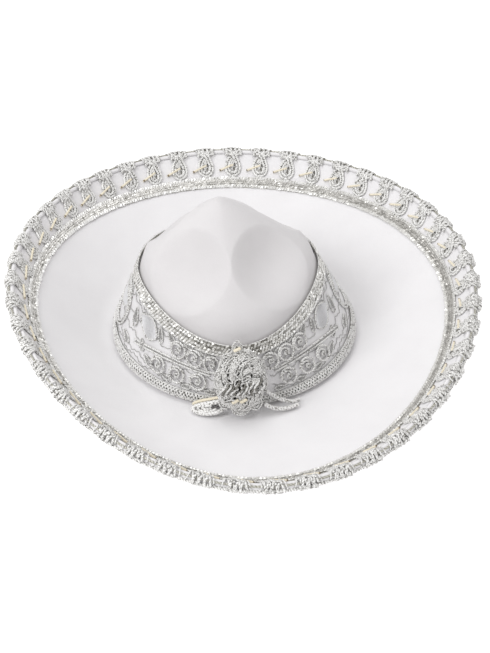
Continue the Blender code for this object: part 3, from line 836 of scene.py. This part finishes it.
stub_cotton, cream_cotton = cotton_paint("stub_cotton", 0.0138), cotton_paint("cream_cotton")
share = np.linspace(0.0, 1.0, 9)[None]
stub_along, stub_down, stub_lift = -0.0005 + 0.0150 * share, 0.0135 + 0.0050 * share, 0.0032 - 0.0018 * share
paths, ups = on_wall(motif_theta[:, None], stub_along, stub_down, stub_lift)
cords("edging_stubs", paths, ups, 0.00105, stub_cotton, sides=8)

SKY = np.array([0.0, 0.0, 1.0])
# Routes over the rim are (out, rise) in metres, and the places on the rim are metres from a motif's middle.
WRAP_ROUTE = (
    (-0.0060, 0.0018), (-0.0020, 0.0021), (0.0012, 0.0008), (0.0020, -0.0020), (0.0006, -0.0050),
    (-0.0050, -0.0056),
)
ARC_ROUTE = (
    (-0.0026, 0.0022), (-0.0004, 0.0024), (0.0016, 0.0010), (0.0020, -0.0020), (0.0004, -0.0046),
    (-0.0040, -0.0052),
)
WRAP_ALONG = np.array([-0.0070, -0.0046, -0.0022, 0.0, 0.0022, 0.0046, 0.0070])
ARC_ALONG = np.array([-0.0102, 0.0102])
draw = np.random.default_rng(7)
rim_rate = np.linalg.norm(slopes(brim, motif_theta, np.full(MOTIFS, 2.0))[0], axis=-1)[:, None, None]


def over_rim(name, route, count, places, lean, jitter, swell, radius, material):
    """Short cords bent over the rim at each motif: every one leans along the rim and starts a little off."""
    bend = through(route, count)
    lean = np.linspace(-1.0, 1.0, count) * lean[:, None]
    start = places[:, None] + lean + draw.normal(0.0, jitter, (MOTIFS, len(places), 1))
    theta = motif_theta[:, None, None] + start / rim_rate
    paths = rim_place(theta, bend[:, 0] * swell[:, None], bend[:, 1] * swell[:, None])
    cords(name, paths.reshape(-1, count, 3), SKY, radius, material)


crossing = 0.0026 * np.array([1, -1, 1, -1, 1, -1, 1])
bunched = 1.0 + 0.32 * np.cos(180.0 * WRAP_ALONG)
over_rim("rim_wraps", WRAP_ROUTE, 18, WRAP_ALONG, crossing, 0.0004, bunched, 0.00115, knot_thread)
spread_out = 0.0022 * np.sign(ARC_ALONG)
over_rim("rim_arcs", ARC_ROUTE, 14, ARC_ALONG, spread_out, 0.0006, np.ones(2), 0.00070, silver_thread)

t = all_round(96)
fullness = (0.72 + 0.28 * np.clip(np.sin(motif_theta) + 0.4, -1.0, 1.0))[:, None]
to_right = np.clip(np.sin(motif_theta), 0.0, 1.0)[:, None]
for number, (phase, sink) in enumerate(((0.0, 0.0), (0.9, 0.0010), (2.1, -0.0008))):
    along = 0.0072 * np.cos(t + phase)
    out = -0.0016 - sink + 0.0016 * np.sin(5.0 * t + phase) + 0.0030 * to_right
    rise = -0.0046 - (0.0016 + sink + 0.0012 * np.cos(6.0 * t + phase)) * fullness
    picot_theta = motif_theta[:, None] + (along + draw.normal(0.0, 0.0006, (MOTIFS, 1))) / rim_rate[:, 0]
    paths = rim_place(picot_theta, out, rise)
    cords(f"picots_{number + 1}", paths, np.array([0.3, 0.2, 0.9]), 0.00080, silver_thread, closed=True)

# %% [markdown]
# ## The hatband
# White satin wraps the flared foot of the crown. Along its top runs a braid of foil flakes between two
# twisted cords, and along its foot a mesh of crossing cords. Both braids stand on their own thin tape.

# %% Satin and braids
SATIN_START, SATIN_END = 0.03, 0.93
BRAID_FLAKE = (0.00155, 0.00125, 0.0012)


def strip_size(surface, low_s, high_s):
    """The width and the mean length of the strip of a surface between two values of s, in metres."""
    width = distances(surface(0.5, np.linspace(low_s, high_s, 20)), 0)[-1]
    heights = np.linspace(low_s, high_s, 9)
    girths = [distances(surface(turns, np.full(turns.shape, s)), 0)[-1] for s in heights]
    return float(width), float(np.mean(girths))


band = shell(
    "satin_band", crown, np.linspace(SATIN_START, SATIN_END, 30), 0.0002, 0.0015, CROWN_COLUMNS, white_satin,
    stands_for=["hatband"], slot="white_satin",
)
band_size = strip_size(crown, SATIN_START, SATIN_END)
print("satin cut", np.round(band_size, 3))
shell(
    "upper_braid_tape", crown, np.linspace(0.85, 1.0, 8), 0.0017, 0.0024, CROWN_COLUMNS, olive_thread,
    stands_for=["band_upper_braid"], slot="silver_sequin",
)
# The braid's flakes get a painted highlight all round but at the front, where their painted tones stay random
# from dark to bright, and every other row uses the foil painted in the darker range.
for row, row_s in enumerate((0.862, 0.890, 0.918, 0.946, 0.974, 1.000)):
    braid_theta = paced(crown, 0.93, 176) + 0.013 * row
    flakes(
        f"upper_braid_row_{row + 1}", crown, braid_theta, row_s, 0.0029, BRAID_FLAKE, 0.40, 30 + row,
        0.75 - 0.75 * gleam(braid_theta, 0.0, 9.0), shaded_foil if row % 2 else bright_foil,
    )
edge_s = np.array([[0.845], [1.012], [0.162], [0.034]])
edge_lift = np.array([[0.0026], [0.0026], [0.0030], [0.0026]])
paths, ups = laid(crown, all_round(640)[None], edge_s, edge_lift)
cords("band_edge_cords", paths, ups, 0.0006, silver_thread, sides=7, twist=(2, 0.0040, 0.35), closed=True)

# The mesh is four cords that wave across the strip, a quarter of a wave apart. Where two cross, one rides
# over the other.
# The mesh's tape is painted dark, as painted shade in the gaps between its cords.
shell(
    "lower_braid_tape", crown, np.linspace(0.03, 0.16, 6), 0.0017, 0.0021, CROWN_COLUMNS, shade_thread,
    stands_for=["band_lower_braid"], slot="silver_thread",
)
mesh_s, mesh_waves = 0.096, 56.0
strand = np.arange(4)[:, None]
mesh_theta = all_round(1440) + 0.0 * strand
wave = np.sin(mesh_waves * mesh_theta + strand * TURN / 4.0)
weave = np.cos(2.0 * mesh_waves * mesh_theta + strand * TURN / 2.0)
paths = laid(crown, mesh_theta, mesh_s + 0.054 * wave, 0.0030 + 0.0006 * weave)[0]
ups = normal(crown, mesh_theta, np.full(mesh_theta.shape, mesh_s))
cords("lower_braid_mesh", paths, ups, 0.00078, silver_thread, closed=True)

# %% [markdown]
# ## Rosettes, stems and leaves
# Braided cord is coiled flat into rosettes, and two rows of them run away from the knot on each side.
# Between the rows a double stem runs to the leaves. Each rosette is a spiral in a small flat frame that
# faces out of the band, and each leaf is a fan of couched threads inside an outline cord.

# %% Rosettes
SIDES = (("left", -1.0), ("right", 1.0))
# A rosette's middle stands this far off the crown.
STAND = 0.0036
# Each row is (name, first angle, angle between two, first s, s between two), in degrees from the front.
ROSETTE_ROWS = (("upper", 16.0, 10.2, 0.68, 0.01), ("lower", 23.0, 11.5, 0.355, -0.005))
spiral = np.linspace(0.0, 1.0, 110)
turn = TURN * 2.5 * spiral
# A small coil swings out into a wide open ring.
swing = np.clip((spiral - 0.36) / 0.26, 0.0, 1.0)
reach = 0.0013 + 0.0020 * spiral + 0.0045 * swing**2 * (3.0 - 2.0 * swing)


def rosette(side, hand, row_name, number, degrees, s):
    """One coil of cord, in a small flat frame that faces out of the band at this place."""
    theta, s = np.array(hand * math.radians(degrees)), np.array(s)
    around, outward = (unit(part) for part in slopes(crown, theta, s))
    up = normal(crown, theta, s)
    disc = crown(theta, s) + STAND * up
    disc = disc + reach[:, None] * (np.cos(turn)[:, None] * around + np.sin(turn)[:, None] * outward)
    disc = disc + (0.0006 * (1.0 - spiral) ** 0.5)[:, None] * up
    cords(
        f"{side}_{row_name}_coil_{number}", disc[None], up, 0.00120, knot_thread,
        sides=9, twist=(3, 0.0040, 0.42), stands_for=[f"{side}_{row_name}_rosette_{number}"],
    )


for side, hand in SIDES:
    for row_name, first, step, row_s, change in ROSETTE_ROWS:
        for number in range(3):
            rosette(side, hand, row_name, number + 1, first + step * number, row_s + change * number)

# %% Stems and leaves
degrees = np.linspace(17.0, 66.0, 160)
crest = 0.530 - 0.07 * ((degrees - 29.0) / 25.0) ** 2
zigzag = 0.010 * np.sin(np.linspace(0.0, 30.0 * TURN, 160))
stem_s = np.stack([crest - 0.022, crest + 0.022, crest + zigzag])
stem_lift = np.array([[0.0027], [0.0027], [0.0022]])
for side, hand in SIDES:
    paths, ups = laid(crown, hand * np.radians(degrees), stem_s, stem_lift)
    cords(
        f"{side}_stem", paths[:2], ups[:2], 0.0010, silver_thread, sides=7, twist=(2, 0.0034, 0.3),
        stands_for=[f"{side}_stem_cord"],
    )
    cords(f"{side}_stem_line", paths[2:], ups[2:], 0.0006, grey_thread, sides=5)

# Each leaf is (name, tip and root in degrees, s at the root, s at the tip, spread).
LEAVES = (
    ("fan", 68.0, 52.0, 0.66, 0.72, 0.12),
    ("long", 112.0, 84.0, 0.58, 0.50, 0.10),
    ("back", 150.0, 122.0, 0.52, 0.60, 0.10),
)
t = np.linspace(0.0, 1.0, 40)[None]
share = np.linspace(-1.0, 1.0, 13)[:, None]


def leaf(side, hand, kind, tip, root, s_root, s_tip, spread):
    """Threads side by side from the root to the tip, widest between them, inside two twisted cords."""
    width = spread * (0.10 + np.sin(np.pi * t**0.8)) * share
    theta = hand * np.radians(root + (tip - root) * t)
    paths, ups = laid(crown, theta, s_root + (s_tip - s_root) * t + width, 0.0026)
    cords(
        f"{side}_{kind}_threads", paths[1:-1], ups[1:-1], 0.00052, white_thread,
        stands_for=[f"{side}_{kind}_leaf"],
    )
    edges = paths[[0, -1]], ups[[0, -1]]
    cords(f"{side}_{kind}_outline", *edges, 0.00105, knot_thread, twist=(2, 0.0036, 0.35))


for side, hand in SIDES:
    for facts in LEAVES:
        leaf(side, hand, *facts)

# %% [markdown]
# The satin between them is covered too. Thin thread is couched down in wavy lines along the band, drops
# and small rings fill the gaps between the rosettes, and one large oval petal is outlined on each side
# with a double cord. Every outline is one closed curve in millimetres, laid on the crown at its place.


# %% Couched lines and petals
def outlines(name, petals, lift, radius, material, twist=None):
    """Closed drops on both sides of the crown: each is (degrees, s, half length, half width, tilt).

    A drop is an ellipse whose width shrinks with the cosine towards one end, turned by the tilt.
    """
    degrees, s, half_long, half_wide, tilt = np.array(petals, float).T[:, :, None]
    t = all_round(96)[None]
    far, wide = half_long * np.cos(t) / 1000.0, half_wide * np.sin(t) * (1.0 - 0.35 * np.cos(t)) / 1000.0
    turned = np.radians(tilt)
    along, rise = far * np.cos(turned) - wide * np.sin(turned), far * np.sin(turned) + wide * np.cos(turned)
    for side, hand in SIDES:
        centre = hand * np.radians(degrees)
        around, outward = (np.linalg.norm(part, axis=-1) for part in slopes(crown, centre, s))
        paths, ups = laid(crown, centre + hand * along / around, s + rise / outward, lift)
        cords(f"{side}_{name}", paths, ups, radius, material, twist=twist, closed=True)


couched = np.linspace(0.0, 1.0, 620)[None]
couched_s = np.array([0.205, 0.27, 0.445, 0.615, 0.775, 0.825])[:, None]
line = np.arange(6)[:, None]
sway = 0.020 * np.sin(TURN * (11.0 + 3.0 * line) * couched + 1.7 * line)
ripple = 0.010 * np.sin(TURN * (47.0 - 4.0 * line) * couched + line)
for side, hand in SIDES:
    theta = hand * np.radians(14.0 + 165.0 * couched)
    paths, ups = laid(crown, theta, couched_s + sway + ripple, 0.0018)
    cords(f"{side}_couched_lines", paths, ups, 0.00042, grey_thread, sides=5)

SMALL_PETALS = (
    (21.0, 0.82, 5.0, 2.2, 20.0), (31.5, 0.83, 5.0, 2.2, 10.0), (43.0, 0.80, 6.0, 2.6, 50.0),
    (50.0, 0.72, 7.0, 2.4, 70.0), (17.0, 0.22, 4.5, 2.0, 0.0), (29.0, 0.22, 4.5, 2.0, -10.0),
    (40.5, 0.24, 4.5, 2.0, 10.0), (53.0, 0.30, 6.5, 2.8, 30.0), (60.0, 0.42, 5.5, 2.6, 60.0),
    (72.0, 0.62, 9.0, 3.6, 75.0), (74.0, 0.30, 7.0, 3.0, 20.0), (118.0, 0.72, 7.0, 3.0, 60.0),
    (118.0, 0.30, 7.0, 3.0, -40.0), (156.0, 0.50, 7.0, 3.4, 80.0), (163.0, 0.74, 5.0, 2.4, 0.0),
    (163.0, 0.28, 5.0, 2.4, 0.0), (171.0, 0.52, 6.0, 3.0, 90.0),
)
hearts = [(degrees, s, 0.5 * long, 0.45 * wide, tilt) for degrees, s, long, wide, tilt in SMALL_PETALS]
outlines("small_petals", SMALL_PETALS, 0.0025, 0.00080, knot_thread, (2, 0.0030, 0.35))
outlines("petal_hearts", hearts, 0.0022, 0.0005, grey_thread)
OUTER_OVAL, MIDDLE_OVAL, INNER_OVAL = (
    (96.0, 0.50, long, wide, 0.0) for long, wide in ((27.0, 21.0), (25.6, 19.6), (24.2, 18.2))
)
outlines("oval_petal", [OUTER_OVAL, INNER_OVAL], 0.0027, 0.00140, knot_thread, (3, 0.0046, 0.40))
# A dark line between the petal's two cords is painted shade in the crease where they meet.
outlines("oval_shade_line", [MIDDLE_OVAL], 0.0022, 0.0007, shade_thread)

# %% [markdown]
# ## The knot and its cords
# At the front the braided cord is crocheted into a full knot. A curve that circles a flattened ball while
# it waves in and out gives strands that cross over and under each other, and the same curve beside
# itself makes each strand a braid. Rings of the same cord close the ball's side. A row of short bars
# crosses the middle with dark cords between them, loops stand up at the top, and a core painted dark shows
# through the gaps: the dark cords and the core are painted shade. A loop of cord lies on the brim at the
# left, and two cord tails at the right. They are free cords.

# %% Knot
KNOT_ACROSS, KNOT_DEEP, KNOT_TALL = 0.0225, 0.0105, 0.0290
theta, s = np.array(math.radians(-1.5)), np.array(0.58)
around, outward = (unit(part) for part in slopes(crown, theta, s))
up = normal(crown, theta, s)
outward = np.cross(up, around)
outward = outward * np.sign(outward[2])
# The ball's back stands just clear of the band and its braid.
KNOT_STAND = 0.0048
knot_centre = crown(theta, s) + (KNOT_STAND + KNOT_DEEP) * up


def on_knot(x, y, z):
    """A point of the unit ball, stretched to the knot's size and set in its frame."""
    x, y, z = (part[..., None] for part in np.broadcast_arrays(x, y, z))
    return knot_centre + KNOT_ACROSS * x * around + KNOT_TALL * y * outward + KNOT_DEEP * z * up


def ball_strands(laps, waves, offsets, phase, count):
    """Curves on the ball: round it in laps while the distance from its axis waves in and out."""
    t = all_round(count)[None]
    reach = 0.60 + 0.33 * np.cos(waves * t + phase) + np.asarray(offsets)[:, None]
    ball = np.sqrt(1.0 - np.clip(reach, 0.0, 0.97) ** 2)
    height = ball + 0.16 * np.sin(waves * t + phase + 0.8)
    return on_knot(reach * np.cos(laps * t), reach * np.sin(laps * t), height)


def knot_cords(name, paths, radius):
    """Closed cords of the knot's own twisted thread."""
    cords(name, paths, up, radius, knot_thread, sides=7, twist=(2, 0.0034, 0.35), closed=True)


strands = np.concatenate([
    ball_strands(3, 5, (-0.060, 0.0, 0.060), 0.0, 420),
    ball_strands(4, 7, (-0.035, 0.035), 1.3, 420),
    ball_strands(5, 9, (0.0,), 2.4, 420),
])
knot_cords("knot_strands", strands, 0.00088)

ring_z = np.linspace(0.10, -1.10, 9)[:, None]
t = all_round(240)[None]
ring_reach = np.sqrt(1.0 - 0.55 * ring_z**2) * (0.94 + 0.04 * np.sin(9.0 * t + 7.0 * ring_z))
ring_height = ring_z + 0.08 * np.sin(13.0 * t + 5.0 * ring_z)
knot_cords("knot_sides", on_knot(ring_reach * np.cos(t), ring_reach * np.sin(t), ring_height), 0.00110)

# %% Bars across the knot
BARS = 15
draw = np.random.default_rng(11)
bar_x = np.linspace(-0.70, 0.80, BARS)[:, None]
t = np.linspace(-1.0, 1.0, 20)[None]
reach = draw.uniform(0.16, 0.26, (BARS, 1))
bar_y = -0.12 + 0.10 * bar_x + reach * t + draw.uniform(-0.10, 0.10, (BARS, 1))
bar_x = bar_x + 0.07 * np.sin(2.6 * t + draw.uniform(-0.8, 0.8, (BARS, 1))) + 0.05 * t
bar_height = np.sqrt(np.clip(1.0 - 0.8 * bar_x**2 - bar_y**2, 0.05, 1.0)) + 0.24 - 0.1 * t**2
bar_path = on_knot(bar_x, bar_y, bar_height)
cords("knot_bars", bar_path[::2], up, 0.00115, silver_thread, sides=8, twist=(2, 0.0060, 0.3))
# Every other bar is a dark cord: painted shade in the gaps between the bright bars.
cords("knot_bar_shade", bar_path[1::2], up, 0.00100, shade_thread, sides=7)

# %% Loops on the knot
# Small loops lie scattered in a sunflower's order, at the golden angle, which fills a disc evenly.
SCATTERED, GOLDEN_ANGLE = 26, 2.39996
t = all_round(90)[None]
number = np.arange(SCATTERED)[:, None]
spread, angle = np.sqrt((number + 0.5) / SCATTERED) * 0.86, number * GOLDEN_ANGLE
lean = draw.uniform(0.0, np.pi, (SCATTERED, 1))
long = draw.uniform(0.14, 0.26, (SCATTERED, 1)) * np.cos(t)
wide = draw.uniform(0.06, 0.11, (SCATTERED, 1)) * np.sin(t)
loop_x = spread * np.cos(angle) + long * np.cos(lean) - wide * np.sin(lean)
loop_y = spread * np.sin(angle) + 0.8 * (long * np.sin(lean) + wide * np.cos(lean))
loop_z = np.sqrt(np.clip(1.0 - loop_x**2 - loop_y**2, 0.04, 1.0)) + 0.16 + 0.08 * np.cos(2.0 * t)
knot_cords("knot_tangle", on_knot(loop_x, loop_y, loop_z), 0.00082)

# Each large loop is (x, y, half width, half height, z) in the unit ball, and has a smaller one inside it.
KNOT_LOOPS = np.array([
    (-0.12, 1.02, 0.20, 0.40, 0.50), (-0.50, 0.74, 0.24, 0.28, 0.50), (0.28, 0.86, 0.20, 0.28, 0.60),
    (-0.85, 0.10, 0.16, 0.34, 0.45), (0.86, 0.02, 0.15, 0.34, 0.50), (0.60, 0.66, 0.22, 0.20, 0.55),
    (-0.62, -0.62, 0.24, 0.22, 0.45), (0.56, -0.70, 0.26, 0.20, 0.45), (0.0, -0.92, 0.34, 0.16, 0.40),
])[:, :, None]
x, y, wide, tall, z = KNOT_LOOPS.transpose(1, 0, 2)
loops = [
    on_knot(x + size * wide * np.sin(t), y + size * tall * np.cos(t), z + 0.12 * np.cos(2.0 * t))
    for size in (1.0, 0.62)
]
knot_cords("knot_loops", np.concatenate(loops), 0.00085)

# %% Patches and core
patch = np.linspace(-1.0, 1.0, 8)[None]
PATCHES = np.array([(-0.22, -0.52, 1.02), (0.10, -0.50, 1.04), (-0.12, 1.14, 0.62)])
patch_x, patch_y, patch_z = PATCHES.T[:, :, None]
patch_path = on_knot(patch_x + 0.12 * patch, patch_y + 0.05 * patch, patch_z - 0.05 * patch**2)
cords("knot_patches", patch_path, up, 0.0015, cream_cotton, sides=8)

CORE_ROWS, CORE_COLUMNS = 20, 40
tilt = np.linspace(0.0, np.pi, CORE_ROWS + 2)[1:-1, None]
turned = all_round(CORE_COLUMNS)[None]
core = on_knot(
    0.86 * np.sin(tilt) * np.cos(turned), 0.86 * np.sin(tilt) * np.sin(turned), 0.88 * np.cos(tilt) - 0.22
)
quads, row, column = quads_of(CORE_ROWS, CORE_COLUMNS, False, True)
first_ring = np.arange(CORE_COLUMNS)
poles = np.stack([first_ring[::-1], (CORE_ROWS - 1) * CORE_COLUMNS + first_ring])
core_uv = np.stack([column / CORE_COLUMNS, row * 0.003], axis=-1).reshape(-1, 2)
core_uv = np.concatenate([core_uv, np.zeros((poles.size, 2))])
# The core is painted dark: painted shade that shows through the gaps between the strands.
mesh_piece(
    "knot_core", core.reshape(-1, 3), [quads, poles], core_uv, shade_thread, "silver_thread",
    stands_for=["front_knot"],
)

# %% Free cords
CORD_DIAMETER = 0.0040
LOOP_ROUTE = (
    (-0.0292, -0.1150, 0.0185), (-0.0347, -0.1140, 0.0165), (-0.0417, -0.1120, 0.0135),
    (-0.0487, -0.1100, 0.0105), (-0.0542, -0.1100, 0.0085), (-0.0557, -0.1130, 0.0078),
    (-0.0517, -0.1170, 0.0076), (-0.0447, -0.1200, 0.0080), (-0.0367, -0.1205, 0.0090),
    (-0.0302, -0.1190, 0.0110),
)
UPPER_TAIL_ROUTE = (
    (0.0088, -0.1135, 0.0240), (0.0153, -0.1145, 0.0190), (0.0233, -0.1145, 0.0135),
    (0.0313, -0.1130, 0.0095), (0.0388, -0.1100, 0.0080),
)
LOWER_TAIL_ROUTE = (
    (0.0063, -0.1220, 0.0170), (0.0133, -0.1220, 0.0120), (0.0213, -0.1210, 0.0090),
    (0.0293, -0.1190, 0.0080), (0.0373, -0.1160, 0.0078),
)
FREE_CORDS = (
    ("loop_cord", "bow_loop", "bow_loop", LOOP_ROUTE, "object"),
    ("upper_tail", "upper_cord_tail", "cord_tails", UPPER_TAIL_ROUTE, "knot"),
    ("lower_tail", "lower_cord_tail", "cord_tails", LOWER_TAIL_ROUTE, "knot"),
)


def beside_the_loop(line):
    """Two smaller turns of cord inside the bow's loop, and a cream lining along its first half."""
    middle = line.mean(axis=0)
    inner = np.stack([middle + share * (line - middle) for share in (0.62, 0.30)])
    top_edge = line[: len(line) // 2] + np.array([0.0, 0.0030, 0.0016])
    return [
        cords("loop_filling", inner, SKY, 0.0014, silver_thread, twist=(2, 0.0050, 0.3), body="bow_loop"),
        cords("loop_lining", top_edge[None], SKY, 0.0014, cream_cotton, body="bow_loop"),
    ]


for name, node, body, route, far_end in FREE_CORDS:
    line = through(route, 12 * len(route))
    piece = cords(
        name, line[None], SKY, CORD_DIAMETER / 2.0, silver_thread,
        sides=14, twist=(3, 0.0060, 0.25), body=body, stands_for=[node],
    )
    beside = beside_the_loop(line) if name == "loop_cord" else []

# %% [markdown]
# ## The sweatband
# Inside the opening a band of cotton twill is sewn to the crown's foot. It is a thin layer like the
# others, under the crown's inner face.

# %% Sweatband
TWILL_START, TWILL_END, TWILL_THICKNESS = 0.03, 0.62, 0.0009
inside = -CROWN_FELT - GAP
twill = shell(
    "twill_band", crown, np.linspace(TWILL_START, TWILL_END, 16), inside - TWILL_THICKNESS, inside,
    CROWN_COLUMNS, cotton_twill, stands_for=["sweatband"], slot="cotton_twill",
)
twill_size = strip_size(crown, TWILL_START, TWILL_END)
print("twill cut", np.round(twill_size, 3))

# %% [markdown]
# ## The floor and the lights
# White on white needs soft light with a clear side. One large panel from the left makes the dent on the
# right go grey, a weaker one from the right keeps it from going dark, and one overhead lights the dish.
# The room gives an even light of its own, darker than the panels, so foil and thread have something dark
# to mirror. The floor glows a little, which keeps the hat's shadow on it faint.


# %% Studio
HAT_MIDDLE = (0.0, 0.0, 0.05)


def panel(name, place, size, power):
    """A square panel of light at a place, turned to face the hat."""
    light = bpy.data.lights.new(name, "AREA")
    light.size, light.energy = size, power
    obj = bpy.data.objects.new(name, light)
    away = unit(np.array(place) - np.array(HAT_MIDDLE))
    side = unit(np.cross([0.0, 0.0, 1.0], away) + np.array([1e-6, 0.0, 0.0]))
    obj.matrix_world = facing(side, np.cross(away, side), away, np.array(place))
    bpy.context.scene.collection.objects.link(obj)


panel("key_light", (-1.3, -0.7, 1.5), 1.0, 17.0)
panel("fill_light", (1.5, -0.9, 1.1), 1.2, 0.8)
panel("top_light", (0.0, 0.5, 2.0), 1.6, 12.0)

world = bpy.data.worlds.new("studio")
world.use_nodes = True
sky = world.node_tree.nodes["Background"].inputs
sky["Color"].default_value, sky["Strength"].default_value = (0.915, 0.905, 0.905, 1.0), 0.68
bpy.context.scene.world = world
bpy.context.scene.view_settings.view_transform = "Standard"

floor_paint = Paint("floor", Roughness=0.8, Emission_Color=(1.0, 1.0, 1.0, 1.0), Emission_Strength=0.42)
clouds = floor_paint.noise(floor_paint.place(), 3.0)
floor_paint.feed("Base Color", floor_paint.mix(clouds, (0.90,) * 3, (0.92,) * 3))
floor_mesh = bpy.data.meshes.new("floor")
FLOOR_HALF, FLOOR_SINK = 6.0, 0.0005
corners = [(x * FLOOR_HALF, y * FLOOR_HALF, -FLOOR_SINK) for x, y in ((-1, -1), (1, -1), (1, 1), (-1, 1))]
floor_mesh.from_pydata(corners, [], [(0, 1, 2, 3)])
floor_mesh.materials.append(floor_paint.material)
floor = bpy.data.objects.new("floor", floor_mesh)
bpy.context.scene.collection.objects.link(floor)
